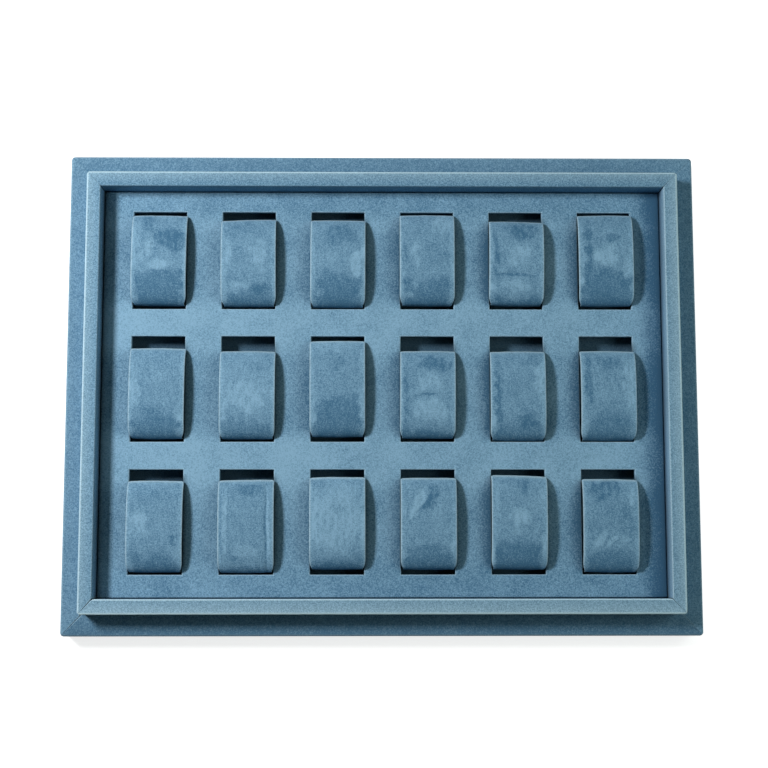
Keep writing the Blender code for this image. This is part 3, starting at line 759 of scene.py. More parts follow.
class TRAY_OT_insert(bpy.types.Operator):
    """Cover the insert with suede that turns down into its 18 slots"""

    bl_idname = "tray.insert"
    bl_label = "Cover Insert"

    def execute(self, context):
        sizes = context.scene.tray_wraps
        radius = sizes.lip
        low, high = node_box("insert_suede")
        slots = slot_boxes()
        # The panel's lines lie at the lips, and more lie where the painted shade changes fast
        lines_x = sorted({low[0] + radius, high[0] - radius}
                         | {edge for box in slots.values() for edge in (box[0] - radius, box[1] + radius)}
                         | {edge for box in slots.values() for part in (0.3, 0.6, 1.0)
                            for edge in (box[0] - PAINTED_SHADE_REACH * part, box[1] + PAINTED_SHADE_REACH * part)}
                         | {edge for part in (0.4, 1.0)
                            for edge in (low[0] + PAINTED_SHADE_REACH * part, high[0] - PAINTED_SHADE_REACH * part)})
        lines_y = sorted({low[1] + radius, high[1] - radius}
                         | {edge for box in slots.values() for edge in (box[2] - radius, box[3] + radius)})
        bm = bmesh.new()
        edge_layer = bm.verts.layers.float.new(WEAR_AND_SHEEN_ATTRIBUTE)
        fine_x, fine_y = between(lines_x, CELL), between(lines_y, CELL)
        for x0, x1 in zip(fine_x, fine_x[1:]):
            for y0, y1 in zip(fine_y, fine_y[1:]):
                x, y = (x0 + x1) / 2, (y0 + y1) / 2
                if not any(box[0] - radius < x < box[1] + radius and box[2] - radius < y < box[3] + radius
                           for box in slots.values()):
                    around = ((x0, y0), (x1, y0), (x1, y1), (x0, y1))
                    bm.faces.new([bm.verts.new((*point, INSERT_TOP)) for point in around])
        for box in slots.values():
            slot_x = [box[0], *(x for x in fine_x if box[0] < x < box[1]), box[1]]
            slot_y = [box[2], *(y for y in fine_y if box[2] < y < box[3]), box[3]]
            self.roll(bm, edge_layer, lip_rings(slot_x, slot_y, radius, 1.0), SLOT_WEAR_AND_SHEEN)
        sheet_x, sheet_y = [low[0], *fine_x[1:-1], high[0]], [low[1], *fine_y[1:-1], high[1]]
        self.roll(bm, edge_layer, lip_rings(sheet_x, sheet_y, radius, -1.0), 0.0)
        bmesh.ops.remove_doubles(bm, verts=bm.verts, dist=1e-6)
        bmesh.ops.recalc_face_normals(bm, faces=bm.faces)
        flat = next(face for face in bm.faces if abs(face.normal.z) > LEVEL)
        if flat.normal.z < 0:
            bmesh.ops.reverse_faces(bm, faces=bm.faces)
        # The flat cells keep their own shading, so that the rolled edges don't tilt it
        for face in bm.faces:
            face.smooth = abs(face.normal.z) < LEVEL
        mesh = bpy.data.meshes.new("insert_face")
        bm.to_mesh(mesh)
        bm.free()
        x, y, _ = points_of(mesh).T
        keep_at_points(mesh, NAP_AND_LIGHT_ATTRIBUTE, panel_nap_and_light(x, y, slots))
        keep_at_points(mesh, PAINTED_SHADE_ATTRIBUTE, panel_painted_shade(x, y, slots))
        mesh.materials.append(bpy.data.materials["suede_insert"])
        piece = thickened(new_object("insert_face", mesh), sizes.cloth)
        piece.data.set_sharp_from_angle(angle=math.radians(50))
        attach(piece, "tray")
        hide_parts("insert_suede")
        return {"FINISHED"}

    @staticmethod
    def roll(bm, edge_layer, rings, wear_and_sheen):
        """Join rings of corners into a rolled edge whose middle is paler, from wear and painted sheen."""
        loops = []
        for number, ring in enumerate(rings):
            loop = [bm.verts.new(point) for point in ring]
            for corner in loop:
                corner[edge_layer] = wear_and_sheen * math.sin(math.pi * min(1.0, number / (len(rings) - 2)))
            loops.append(loop)
        for first, second in zip(loops, loops[1:]):
            for i in range(len(first)):
                j = (i + 1) % len(first)
                bm.faces.new((first[i], first[j], second[j], second[i]))


# Cuffs
# Points of the arch before it is cut into rings, step between points across the skin, and radius of the hidden
# corners
ARCH_POINTS, SKIN_STEP, HIDDEN_TURN = 700, 0.0007, 0.0003
# Sizes of the hills and hollows, and how strong the smaller ones are
HILLS, SMALL_HILLS, SMALL_SHARE = 0.014, 0.004, 0.25
# Wear and painted sheen along a cover's long edges, and a painted highlight where it turns down at the back:
# heights above the waist between which the highlight lies there, and how far it takes to set in and to end
LONG_EDGE_WEAR_AND_SHEEN, BACK_HIGHLIGHT = 0.85, 0.70
HIGHLIGHT_FROM, HIGHLIGHT_TO, HIGHLIGHT_SETS_IN, HIGHLIGHT_ENDS = 0.0004, 0.0046, 0.0012, 0.0016
# Depth under the skin at which the painted shade of the sides and inside starts, how far it takes to, and how
# dark it is
SIDE_SHADE_DEPTH, SIDE_SHADE_FADE, SIDE_SHADE_STRENGTH = 0.0004, 0.0005, 0.92
# How far above the insert a cover starts to flare, and how far apart the seeds of two covers lie
FLARE_GAP, SEED_STEP = 0.0006, 0.37
# How far the back edge of a cover lies further back at its right than at its left, for each metre across
SKEW = {"r1c2": 0.028, "r1c3": -0.009, "r1c5": -0.024, "r2c3": 0.004, "r2c6": -0.012, "r3c2": 0.016,
        "r3c3": 0.006, "r3c5": -0.038, "r3c6": -0.015}


def cuff_tree():
    """A cuff's padded cover: a padded section carried over a springy arch, with its feet in the slot."""
    inputs = {"Length": 0.0535, "Height": 0.0219, "Waist": 0.0127, "Mouth": 0.026, "Crown Squareness": 2.2,
              "Foot Squareness": 3.0, "Half Low": 0.01515, "Half Crown": 0.01635, "Flare Start": 0.0144,
              "Front Flare": 0.0048, "Back Flare": 0.0012, "Front Taper": 0.0004, "Wall": 0.0035,
              "Pad": 0.0019, "Crown": 0.0003, "Edge Rounding": 0.0007, "Side Cloth": 0.0008,
              "Unevenness": 0.0002, "Seed": 0.0, "Skew": 0.0, "Rings": 190, "Material": MATERIAL}
    tree = Tree.group("cuff_cover", "GeometryNodeTree", inputs, {"Mesh": MESH})
    g = tree.given
    # Arch: a squared ellipse above the waist and a squarer one below it, open over the mouth at the bottom
    half, foot = g("Length") / 2.0, g("Foot Squareness")
    mouth_share = g("Mouth") / 2.0 / half
    drop = (1.0 - mouth_share ** foot) ** (1.0 / foot)
    crown_rise, foot_rise = g("Height") - g("Waist"), g("Waist") / drop
    opening = tree.math("ARCSINE", mouth_share ** (foot / 2.0))
    run = tree.index() / (ARCH_POINTS - 1.0)
    angle = -math.pi / 2 - opening - (2 * math.pi - opening * 2.0) * run
    c, s = angle.cosine(), angle.sine()
    above = s > 0.0
    power = 2.0 / (foot + (g("Crown Squareness") - foot) * above)
    rise = foot_rise + (crown_rise - foot_rise) * above
    y = half * c.sign() * c.size() ** power
    z = rise * s.sign() * s.size() ** power + g("Waist")
    path = tree.place(tree.row_of_points(ARCH_POINTS), tree.vector(0.0, y, z))
    path = tree.add("GeometryNodeResampleCurve", {"Curve": path, "Count": g("Rings")}).outputs[0]
    path = tree.faced(path, (1.0, 0.0, 0.0))
    # Section across the cuff: place across and depth from the skin, with a pocket for the band
    wide, wall, pad = g("Half Crown"), g("Wall"), g("Pad")
    pocket = g("Half Low") - g("Side Cloth")
    corners = [tree.vector(x, depth) for x, depth in
               ((-wide, wall), (-wide, 0.0), (wide, 0.0), (wide, wall), (pocket, wall), (pocket, pad),
                (-pocket, pad), (-pocket, wall))]
    section = tree.place(tree.row_of_points(8), tree.by_index(corners, "VECTOR"))
    section = tree.add("GeometryNodeSetSplineCyclic", {"Geometry": section, "Cyclic": True}).outputs[0]
    edge = g("Edge Rounding")
    radii = [HIDDEN_TURN, edge, edge] + [HIDDEN_TURN] * 5
    section = tree.rounded(section, radii, 5)
    following = tree.add("GeometryNodeFieldAtIndex", {"Value": tree.position(), "Index": tree.index() + 1.0},
                         data_type="FLOAT_VECTOR").outputs[0]
    reach = tree.add("ShaderNodeVectorMath", {0: following, 1: tree.position()}, operation="DISTANCE")
    on_skin = tree.parts(tree.position())[1] < (pad * 0.5)
    cuts = (Value(tree, reach.outputs["Value"]) / SKIN_STEP).whole() * on_skin
    section = tree.add("GeometryNodeSubdivideCurve", {"Curve": section, "Cuts": cuts}).outputs[0]
    across, depth, _ = tree.parts(tree.position())
    beside = across / wide
    sink = g("Crown") * beside * beside * (1.0 - depth / wall)
    section = tree.place(section, None, tree.vector(0.0, sink, 0.0))
    across, depth, _ = tree.parts(tree.position())
    section, across, depth = tree.capture(section, across=across, depth=depth)
    swept = {"Curve": path, "Profile Curve": section, "Fill Caps": True}
    mesh = tree.add("GeometryNodeCurveToMesh", swept).outputs[0]
    # The cover is narrow in the slot and flares above the insert
    x, y, z = tree.parts(tree.position())
    at_front = (0.5 - y / half * 4.0).eased()
    flare_height = g("Back Flare") + (g("Front Flare") - g("Back Flare")) * at_front
    flare = ((z - g("Flare Start")) / flare_height).eased()
    outside = ((x.size() - pocket) / (wide - pocket)).clamped()
    inwards = g("Half Crown") - g("Half Low") + at_front * g("Front Taper")
    narrowed = x - x.sign() * inwards * (1.0 - flare) * outside
    back_share = (y / half).clamped() * (z / g("Height")).clamped()
    skewed = y + narrowed * g("Skew") * back_share
    placed = tree.place(mesh, tree.vector(narrowed, skewed, z))
    # Soft hills and hollows on the padded side
    outer = (1.0 - depth / (pad * 0.8)).clamped()
    spot = tree.add("ShaderNodeVectorMath", {0: tree.position(), 1: tree.vector(g("Seed"), 0.0, 0.0)},
                    operation="ADD").outputs[0]
    hills = tree.noise(spot, HILLS, 2.0, 0.5) + tree.noise(spot, SMALL_HILLS, 1.0, 0.5) * SMALL_SHARE
    normal = tree.add("GeometryNodeInputNormal").outputs[0]
    placed = tree.place(placed, None, tree.scaled(normal, hills * g("Unevenness") * 2.0 * outer))
    # Edge wear and painted sheen along the long edges, and a painted highlight where the cover turns down at
    # the back
    worn_and_sheen = (1.0 - (wide - across.size()) / (edge * 1.5)).eased() * (1.0 - depth / wall).clamped()
    worn_and_sheen = worn_and_sheen * LONG_EDGE_WEAR_AND_SHEEN
    height = z - g("Waist")
    above_waist = ((height - HIGHLIGHT_FROM) / HIGHLIGHT_SETS_IN).clamped()
    back_highlight = above_waist * ((HIGHLIGHT_TO - height) / HIGHLIGHT_ENDS).clamped() * (y > 0.0)
    worn_and_sheen = tree.largest(worn_and_sheen, back_highlight * BACK_HIGHLIGHT)
    # Painted shade: the sides below the rolled edge, and the inside, are painted near-black for the deep shadow
    # they lie in
    painted_side_shade = ((depth - SIDE_SHADE_DEPTH) / SIDE_SHADE_FADE).clamped() * SIDE_SHADE_STRENGTH
    kept = tree.keep(placed, PAINTED_SHADE_ATTRIBUTE, painted_side_shade)
    tree.dress(tree.keep(kept, WEAR_AND_SHEEN_ATTRIBUTE, worn_and_sheen), g("Material"))
    return tree.node_tree


class TRAY_OT_cuffs(bpy.types.Operator):
    """Make the 18 padded suede covers of the watch cuffs"""

    bl_idname = "tray.cuffs"
    bl_label = "Pad Cuffs"

    def execute(self, context):
        sizes = context.scene.tray_cuffs
        tree = cuff_tree()
        slots = slot_boxes()
        for number, label in enumerate(CUFFS):
            centre, turn, span, seat, height = cuff_lay(label)
            slot_half = (slots[label][1] - slots[label][0]) / 2
            values = {"Length": span, "Height": height, "Waist": sizes.waist, "Mouth": sizes.mouth,
                      "Crown Squareness": sizes.crown_squareness, "Foot Squareness": sizes.foot_squareness,
                      "Half Low": slot_half - sizes.side_clearance, "Half Crown": slot_half + sizes.overhang,
                      "Flare Start": INSERT_TOP + FLARE_GAP - seat, "Front Flare": sizes.flare_front,
                      "Back Flare": sizes.flare_back, "Wall": sizes.wall, "Pad": sizes.pad,
                      "Crown": sizes.crown, "Edge Rounding": sizes.edge, "Side Cloth": sizes.side_cloth,
                      "Unevenness": sizes.unevenness, "Seed": number * SEED_STEP, "Skew": SKEW.get(label, 0.0),
                      "Rings": sizes.rings, "Material": bpy.data.materials["suede_cuff"]}
            name = f"cuff_cover_{label}"
            piece = grown(name, tree, values)
            brush_and_paint_light(piece.data, label, slot_half + sizes.overhang, span / 2)
            turned(piece.data, turn)
            piece.data.transform(Matrix.Translation((centre[0], centre[1], seat)))
            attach(piece, f"cuff_{label}")
            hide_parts(f"cuff_pad_{label}")
        return {"FINISHED"}


# Brush marks in the nap, and on every cuff painted shade at its front foot, a painted highlight at its back
# edge and
# paler bands along its sides: place from a cuff's left and from its back, as shares, half width and half length
# in millimetres, turn in degrees, and strength, where above 0 is lighter
EVERY_CUFF = ((0.5, 0.97, 15, 2.2, 0, -0.1), (0.04, 0.5, 1.6, 24, 0, 0.12), (0.96, 0.5, 1.6, 24, 0, 0.12),
              (0.5, 0.03, 15, 1.3, 0, 0.1))
MARKS = {
    "r1c1": ((0.69, 0.28, 8.8, 6.8, -22, -0.34), (0.26, 0.11, 4.5, 4, 0, -0.2),
             (0.3, 0.38, 2.6, 8, -25, 0.2), (0.53, 0.555, 8, 2.8, 0, 0.26), (0.12, 0.35, 2.8, 13, 0, 0.1)),
    "r1c2": ((0.13, 0.46, 2.2, 9, 0, 0.22), (0.7, 0.45, 5, 9.5, 8, 0.22), (0.32, 0.78, 6.5, 2.4, 5, 0.18),
             (0.68, 0.8, 5, 3.4, 0, -0.16), (0.45, 0.15, 11, 4, 0, -0.08)),
    "r1c3": ((0.55, 0.2, 8.5, 5.5, 8, -0.22), (0.85, 0.52, 3, 9.5, -10, 0.34),
             (0.17, 0.87, 2.2, 2.6, 0, 0.22), (0.3, 0.48, 6, 5, 0, 0.1)),
    "r1c4": ((0.8, 0.12, 5.5, 4.5, 0, 0.2), (0.3, 0.42, 2.8, 9.5, 4, 0.16), (0.08, 0.48, 1.7, 9.5, 0, -0.18),
             (0.13, 0.76, 2.2, 2.4, 0, -0.2), (0.18, 0.89, 2.8, 1.8, 0, 0.24), (0.66, 0.45, 5, 7, 0, -0.06)),
    "r1c5": ((0.58, 0.13, 9.5, 4.6, -4, -0.26), (0.13, 0.4, 1.7, 13, 2, -0.24), (0.55, 0.43, 7, 8, 0, 0.2),
             (0.48, 0.66, 10.5, 0.9, -2, -0.28), (0.5, 0.78, 9, 3, -2, 0.2), (0.07, 0.8, 1.6, 2.6, 0, 0.26)),
    "r1c6": ((0.17, 0.42, 2.4, 15, 0, -0.26), (0.46, 0.47, 6, 6, 0, 0.28), (0.87, 0.6, 2.4, 6, 0, 0.2),
             (0.6, 0.27, 5, 2.2, -12, -0.24), (0.08, 0.76, 1.6, 3.4, 0, 0.2)),
    "r2c1": ((0.11, 0.48, 3, 10, 0, 0.2), (0.91, 0.78, 2.2, 2.6, 0, 0.26), (0.5, 0.68, 9, 3, 0, -0.1),
             (0.6, 0.3, 8, 4, 0, 0.08)),
    "r2c2": ((0.5, 0.55, 10, 9, 0, 0.2), (0.62, 0.2, 4.6, 3.4, 0, -0.14), (0.5, 0.45, 16, 20, 0, 0.08),
             (0.1, 0.62, 2, 8, 0, 0.1)),
    "r2c3": ((0.5, 0.06, 14, 2.6, 0, 0.16), (0.5, 0.26, 5, 4.6, 0, -0.14), (0.08, 0.8, 1.7, 2.6, 0, 0.22),
             (0.93, 0.78, 1.5, 4, 0, 0.18)),
    "r2c4": ((0.66, 0.17, 8, 4.2, 0, -0.26), (0.55, 0.39, 8.5, 4.2, 0, 0.22),
             (0.45, 0.515, 6.5, 0.7, 4, -0.28), (0.55, 0.69, 9.5, 6.4, 0, 0.26),
             (0.1, 0.5, 1.8, 17, 0, -0.22)),
    "r2c5": ((0.13, 0.52, 2, 19, 0, -0.26), (0.87, 0.36, 3, 10, 0, 0.24), (0.7, 0.8, 5.5, 3.8, 0, -0.22),
             (0.04, 0.78, 1.3, 3.8, 0, 0.26), (0.7, 0.12, 6, 3, 0, -0.12)),
    "r2c6": ((0.87, 0.4, 3, 13, 0, 0.24), (0.14, 0.36, 2.2, 14, 0, -0.26), (0.09, 0.86, 1.8, 4.6, -12, 0.28),
             (0.5, 0.14, 7, 4, 0, -0.16), (0.45, 0.5, 6, 4, 0, 0.08)),
    "r3c1": ((0.26, 0.47, 4.8, 7.5, 0, 0.28), (0.85, 0.66, 2.6, 3.2, 0, -0.24), (0.6, 0.2, 8, 4, 0, -0.08),
             (0.88, 0.84, 2.2, 2.4, 0, 0.16)),
    "r3c2": ((0.6, 0.12, 7, 4.2, 0, -0.2), (0.13, 0.48, 1.2, 19, 0, 0.26), (0.055, 0.48, 0.7, 19, 0, -0.16),
             (0.89, 0.55, 0.9, 22, 1, 0.26), (0.855, 0.55, 0.7, 22, 1, -0.28), (0.5, 0.76, 7, 3.6, 0, 0.14),
             (0.3, 0.84, 2.8, 2.8, 0, -0.16)),
    "r3c3": ((0.12, 0.5, 1.4, 17, 0, 0.16), (0.5, 0.45, 16, 19, 0, 0.24), (0.55, 0.36, 5, 3, 0, -0.12),
             (0.3, 0.7, 6, 5, 0, 0.08)),
    "r3c4": ((0.5, 0.24, 3, 7.5, -32, -0.34), (0.28, 0.3, 2.2, 8.5, -32, 0.28),
             (0.08, 0.84, 1.8, 2.6, 0, 0.24), (0.92, 0.74, 1.8, 3.4, 0, 0.22), (0.7, 0.5, 5, 6, -10, 0.08)),
    "r3c5": ((0.62, 0.12, 3.4, 3.8, 0, -0.22), (0.52, 0.46, 4.6, 6.4, -18, 0.28), (0.94, 0.7, 2, 5, 0, 0.3),
             (0.06, 0.85, 1.8, 4.6, 0, 0.28), (0.12, 0.3, 1.4, 12, 2, 0.12), (0.88, 0.25, 1.6, 6, 0, 0.14)),
    "r3c6": ((0.35, 0.12, 9, 4, 0, -0.24), (0.88, 0.2, 2.4, 5.5, 0, 0.24), (0.3, 0.64, 2.2, 5.6, -38, 0.28),
             (0.5, 0.67, 1.6, 7, -44, 0.26), (0.7, 0.66, 2, 4.6, -40, 0.16), (0.72, 0.38, 3, 6, 0, -0.1),
             (0.5, 0.5, 16, 20, 0, -0.05)),
}
# The darker front slope of a cover, partly its nap and partly painted shade where the slope turns from the key
# lamp:
# how far from the back it starts at the left, in the middle and at the right, as shares, and its strength
FRONT_SLOPE_NAP_AND_SHADE = {
    "r1c1": (0.72, 0.60, 0.68, -0.26), "r1c2": (0.86, 0.80, 0.68, -0.22), "r1c3": (0.78, 0.61, 0.80, -0.27),
    "r1c4": (0.85, 0.74, 0.69, -0.24), "r1c5": (0.93, 0.91, 0.90, -0.22), "r1c6": (0.72, 0.60, 0.72, -0.26),
    "r2c1": (0.80, 0.72, 0.82, -0.24), "r2c2": (0.80, 0.77, 0.80, -0.20), "r2c3": (0.76, 0.58, 0.64, -0.24),
    "r2c4": (0.84, 0.89, 0.88, -0.28), "r2c5": (0.85, 0.77, 0.76, -0.20), "r2c6": (0.84, 0.67, 0.80, -0.22),
    "r3c1": (0.80, 0.77, 0.84, -0.22), "r3c2": (0.90, 0.92, 0.90, -0.08), "r3c3": (0.90, 0.86, 0.83, -0.24),
    "r3c4": (0.82, 0.71, 0.82, -0.24), "r3c5": (0.80, 0.64, 0.78, -0.28), "r3c6": (0.82, 0.79, 0.82, -0.26),
}
MARK_STRENGTH = 1.32
# How the marks stray and break up: lengths of the waves and their amounts, in millimetres
STRAYING = (19.0, 1.4), (7.0, 1.1), (2.6, 0.40)
STREAKS = (4.0, 0.30), (2.2, 0.24)
# Creases in a cover: from and to, as shares, then half width and depth in millimetres
CREASES = {
    "r1c5": ((0.12, 0.66, 0.82, 0.64, 1.5, 0.25),),
    "r2c4": ((0.25, 0.54, 0.60, 0.52, 1.2, 0.15),),
    "r3c2": ((0.86, 0.08, 0.87, 1.00, 1.0, 0.35), (0.05, 0.15, 0.04, 0.95, 0.8, 0.25)),
    "r1c1": ((0.45, 0.20, 0.38, 0.42, 1.8, 0.18),),
    "r3c4": ((0.40, 0.14, 0.34, 0.36, 1.5, 0.20),),
}


def wander(x, y, sizes, seed):
    """Two smooth drifts across a surface, from waves of given lengths and amounts in seeded directions."""
    random = np.random.default_rng(seed)
    drift = np.zeros((2, len(x)))
    for length, amount in sizes:
        for axis in range(2):
            for _ in range(4):
                angle, phase = random.uniform(0, 2 * math.pi, 2)
                wave = (x * math.cos(angle) + y * math.sin(angle)) * 2 * math.pi / length
                drift[axis] += np.sin(wave + phase) * amount / 2
    return drift


def front_slope_nap_and_shade(label, across, along):
    """The darker front slope of a cover, nap and painted shade, at places from -1 at its left and front to 1 at
    its right and back.
    """
    left, middle, right, strength = FRONT_SLOPE_NAP_AND_SHADE[label]
    share_along = (1 - along) / 2
    start = middle + (right - left) / 2 * across + ((left + right) / 2 - middle) * across * across
    between_sides = smooth_step((0.96 - np.abs(across)) / 0.28)
    return strength * MARK_STRENGTH * smooth_step((share_along - start + 0.05) / 0.15) * between_sides


def brush_and_paint_light(mesh, label, half_width, half_length):
    """Brush the marks, with the painted shade and highlight, into a cover's nap attribute, and press its
    creases in.
    """
    points = points_of(mesh)
    x, y = points[:, 0] * 1000, points[:, 1] * 1000
    drift_x, drift_y = wander(x, y, STRAYING, CUFFS.index(label))
    streaks = 1 + wander(x, y * 0.4, STREAKS, CUFFS.index(label) + 50)[0]
    nap = np.zeros(len(x))
    for across, along, wide, tall, turn, strength in EVERY_CUFF + MARKS[label]:
        # A thin stroke wanders less, so that it stays one stroke
        stray = min(1.0, wide / 4.0, tall / 4.0)
        dx = x + drift_x * stray - (across * 2 - 1) * half_width * 1000
        dy = y + drift_y * stray - (1 - along * 2) * half_length * 1000
        c, s = math.cos(math.radians(turn)), math.sin(math.radians(turn))
        far = np.hypot((dx * c + dy * s) / wide, (dy * c - dx * s) / tall)
        nap += strength * MARK_STRENGTH * smooth_step((1.42 - far) / 0.84) * streaks
    nap += front_slope_nap_and_shade(label, (x + drift_x) / (half_width * 1000), (y + drift_y) / (half_length * 1000))
    keep_at_points(mesh, NAP_AND_LIGHT_ATTRIBUTE, nap)
    for u0, v0, u1, v1, wide, deep in CREASES.get(label, ()):
        start = np.array([(u0 * 2 - 1) * half_width, (1 - v0 * 2) * half_length]) * 1000
        end = np.array([(u1 * 2 - 1) * half_width, (1 - v1 * 2) * half_length]) * 1000
        line = end - start
        place = np.stack([x + drift_x * 0.3, y + drift_y * 0.3], 1) - start
        share_along = np.clip(place @ line / (line @ line), 0.0, 1.0)
        far = np.hypot(*(place - share_along[:, None] * line).T) / wide
        normals = np.array([vertex.normal for vertex in mesh.vertices])
        upwards = np.clip(normals[:, 2] * 2, 0.0, 1.0)
        points -= normals * (np.exp(-far * far) * upwards * deep / 1000)[:, None]
    move_points(mesh, points)


# Share of +X in its normal above which a band's face belongs to its flat right edge
SIDEWAYS = 0.99


def cuff_lay(label):
    """Centre, turn, length, seat height and rise of a cuff, measured on its pad in the frame."""
    points = points_of(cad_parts[f"cuff_pad_{label}"].data)
    seat, crown = points[:, 2].min(), points[:, 2].max()
    # The band's right edge faces the way that the cuff is turned
    facing = sum((face.normal * face.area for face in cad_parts[f"cuff_band_{label}"].data.polygons
                  if face.normal.x > SIDEWAYS), Vector())
    turn = math.atan2(facing.y, facing.x)
    c, s = math.cos(turn), math.sin(turn)
    to_world = np.array(((c, -s), (s, c)))
    straight = points[:, :2] @ to_world
    low, high = straight.min(0), straight.max(0)
    centre = to_world @ ((low + high) / 2)
    return centre, math.degrees(turn), high[1] - low[1], seat, crown - seat


# Materials of everything
class TRAY_OT_finishes(bpy.types.Operator):
    """Make the materials and finish the boards, felt and bands of the frame"""

    bl_idname = "tray.finishes"
    bl_label = "Make Finishes"

    def execute(self, context):
        colours = context.scene.tray_suede
        group = suede_group()
        suede_material("suede_rim", group, colours, 1.40, 0.16, 0.10)
        suede_material("suede_flange", group, colours, 1.10, 0.20, 0.10)
        suede_material("suede_insert", group, colours, 1.25, 0.20, 0.10, nap=0.02)
        suede_material("suede_cuff", group, colours, 1.12, 0.13, 0.28, nap=-0.03)
        suede_material("suede_lining", group, colours, 0.80, 0.15, 0.05, nap=-0.10, shade=0.50)
        plain_material("grey_board", (0.30, 0.29, 0.27), (0.42, 0.41, 0.38), 0.0020, 0.90)
        plain_material("fibre_board", (0.050, 0.052, 0.055), (0.085, 0.088, 0.092), 0.0030, 0.85)
        plain_material("base_felt", (0.020, 0.030, 0.042), (0.045, 0.062, 0.080), 0.0015, 0.95, bump=0.0003)
        plain_material("spring_band", (0.012, 0.015, 0.019), (0.022, 0.026, 0.032), 0.0100, 0.85)
        finishes = {"underside_felt": "base_felt", "base_board": "grey_board", "insert_board": "grey_board",
                    "floor_lining": "suede_lining"}
        for name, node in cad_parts.items():
            if name.startswith(("cross_rib", "plinth_rail", "rim_rail")):
                finishes[name] = "fibre_board"
            elif name.startswith("cuff_band"):
                finishes[name] = "spring_band"
            if name in finishes:
                node.data.materials.clear()
                node.data.materials.append(bpy.data.materials[finishes[name]])
        return {"FINISHED"}


# Stage
CAMERA_LENS, CAMERA_PLACE, CAMERA_TURN = 68.15, (-0.00980, -0.09499, 0.86817), (6.6784, -0.7142, -0.0430)
KEY_PLACE, FILL_PLACE = (-0.535, 0.226, 0.635), (0.56, 0.0, 0.50)
FILL_SIZE, FILL_COLOUR, SKY_COLOUR = 0.36, (0.90, 1.0, 0.93), (0.78, 1.0, 0.90, 1.0)
FLOOR_REACH, BACKDROP_HEIGHT = 60.0, 8.0
# The floor as the camera sees it and as it lights the tray
SEEN_GREY, BOUNCE_GREY = (0.60, 0.60, 0.60, 1.0), (0.75, 0.75, 0.75, 1.0)
# Distance from the middle at which the floor starts to fade to white, and how far that takes
FADE_START, FADE_REACH = 0.36, 0.5
# Where the floor glows more, at the tray's right: how far in from its side that starts, how far it takes to
# reach its full strength, and that strength
GLOW_START, GLOW_REACH, GLOW_RIGHT = 0.016, 0.022, 0.10
WHITE = (1.0, 1.0, 1.0, 1.0)


def area_light(name, location, length, width, power, colour=WHITE[:3]):
    """A panel of light that faces the tray, with its length from front to back."""
    lamp = bpy.data.lights.new(name, "AREA")
    lamp.shape = "RECTANGLE"
    lamp.size, lamp.size_y = length, width
    lamp.energy = power
    lamp.color = colour
    holder = bpy.data.objects.new(name, lamp)
    facing = Vector(location).normalized()
    along = (Vector((0.0, 1.0, 0.0)) - facing * facing.y).normalized()
    turn = Matrix((along, facing.cross(along), facing)).transposed()
    holder.matrix_world = Matrix.Translation(location) @ turn.to_4x4()
    bpy.context.scene.collection.objects.link(holder)


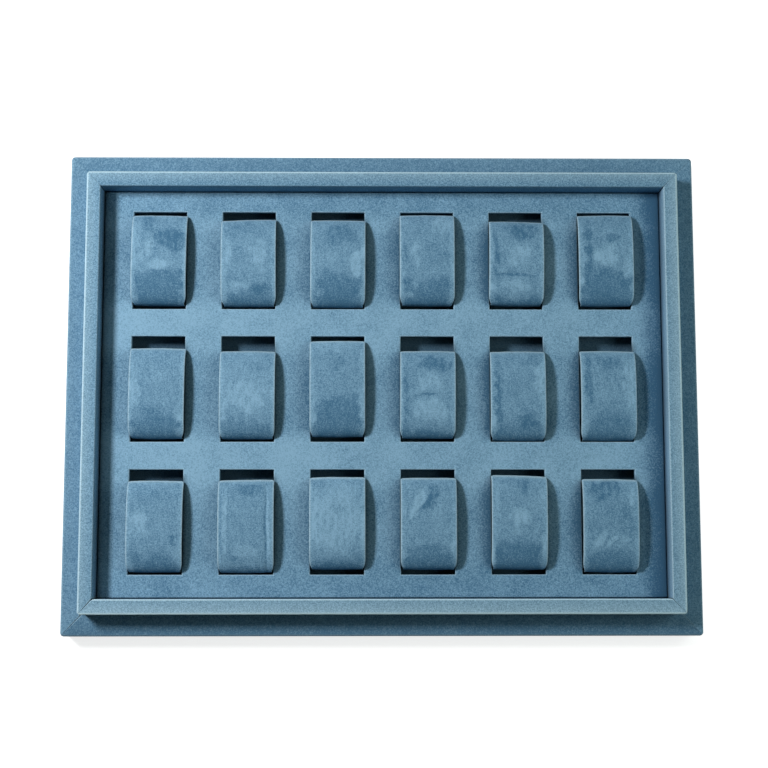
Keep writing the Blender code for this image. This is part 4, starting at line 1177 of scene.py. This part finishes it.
class TRAY_OT_stage(bpy.types.Operator):
    """Set up the camera, the lamps and the white floor"""

    bl_idname = "tray.stage"
    bl_label = "Set Up Stage"

    def execute(self, context):
        light = context.scene.tray_light
        scene = context.scene
        camera = bpy.data.cameras.new("camera")
        camera.sensor_width = 36.0
        camera.lens = CAMERA_LENS
        holder = bpy.data.objects.new("camera", camera)
        holder.location = CAMERA_PLACE
        holder.rotation_euler = [math.radians(angle) for angle in CAMERA_TURN]
        scene.collection.objects.link(holder)
        scene.camera = holder
        area_light("key", KEY_PLACE, light.key_length, light.key_width, light.key_power)
        area_light("fill", FILL_PLACE, FILL_SIZE, FILL_SIZE, light.fill_power, FILL_COLOUR)
        world = bpy.data.worlds.new("sky")
        world.use_nodes = True
        sky = world.node_tree.nodes["Background"].inputs
        sky["Color"].default_value = SKY_COLOUR
        sky["Strength"].default_value = light.sky
        scene.world = world
        scene.view_settings.view_transform = "Standard"
        self.floor(light.floor_glow)
        return {"FINISHED"}

    @staticmethod
    def floor(glow):
        """A floor that is white to the camera and glows a little where the tray leaves it dark."""
        bm = bmesh.new()
        bmesh.ops.create_grid(bm, x_segments=8, y_segments=8, size=FLOOR_REACH)
        # Its far edge rises like a studio's backdrop
        for corner in bm.verts:
            if max(abs(corner.co.x), abs(corner.co.y)) > FLOOR_REACH * 0.99:
                corner.co.z = BACKDROP_HEIGHT
        mesh = bpy.data.meshes.new("floor")
        bm.to_mesh(mesh)
        bm.free()
        floor = new_object("floor", mesh)
        material, tree, shader = new_material("white_floor")
        tree.nodes.remove(shader)
        path = tree.add("ShaderNodeLightPath").outputs
        seen = tree.largest(path["Is Camera Ray"], path["Is Glossy Ray"], path["Is Transmission Ray"])
        shaded = tree.add("ShaderNodeBsdfDiffuse", {"Color": SEEN_GREY})
        x, y, _ = tree.parts(tree.add("ShaderNodeTexCoord").outputs["Object"])
        far = ((tree.math("SQRT", x * x + y * y) - FADE_START) / FADE_REACH).eased()
        right_side = ((x - CAD_HIGH[0] + GLOW_START) / GLOW_REACH).eased() * GLOW_RIGHT
        glow = (right_side + glow) * (1.0 - far) + far
        bright = tree.add("ShaderNodeEmission", {"Color": WHITE, "Strength": glow})
        shown = tree.add("ShaderNodeAddShader", {0: shaded.outputs[0], 1: bright.outputs[0]})
        bounce = tree.add("ShaderNodeBsdfDiffuse", {"Color": BOUNCE_GREY})
        mixed = tree.add("ShaderNodeMixShader", {0: seen, 1: bounce.outputs[0], 2: shown.outputs[0]})
        tree.links.new(mixed.outputs[0], tree.nodes["Material Output"].inputs["Surface"])
        floor.data.materials.append(material)


class TRAY_PT_panel(bpy.types.Panel):
    bl_label = "Watch Tray"
    bl_idname = "TRAY_PT_panel"
    bl_space_type = "VIEW_3D"
    bl_region_type = "UI"
    bl_category = "Watch Tray"

    def draw(self, context):
        layout = self.layout
        for operator in OPERATORS:
            layout.operator(operator.bl_idname)
        for group in GROUPS:
            settings = getattr(context.scene, group)
            box = layout.box()
            for name in settings.__annotations__:
                box.prop(settings, name)


OPERATORS = (TRAY_OT_finishes, TRAY_OT_wraps, TRAY_OT_insert, TRAY_OT_cuffs, TRAY_OT_stage)
GROUPS = {"tray_wraps": WrapSizes, "tray_cuffs": CuffSizes, "tray_suede": SuedeColours,
          "tray_light": StudioLight}


def register():
    for item in (*GROUPS.values(), *OPERATORS, TRAY_PT_panel):
        bpy.utils.register_class(item)
    for name, group in GROUPS.items():
        setattr(bpy.types.Scene, name, bpy.props.PointerProperty(type=group))


def unregister():
    for name in GROUPS:
        delattr(bpy.types.Scene, name)
    for item in (TRAY_PT_panel, *reversed(OPERATORS), *reversed(GROUPS.values())):
        bpy.utils.unregister_class(item)


def main():
    register()
    bpy.ops.tray.finishes()
    bpy.ops.tray.wraps()
    bpy.ops.tray.insert()
    bpy.ops.tray.cuffs()
    bpy.ops.tray.stage()


if __name__ == "__main__":
    main()
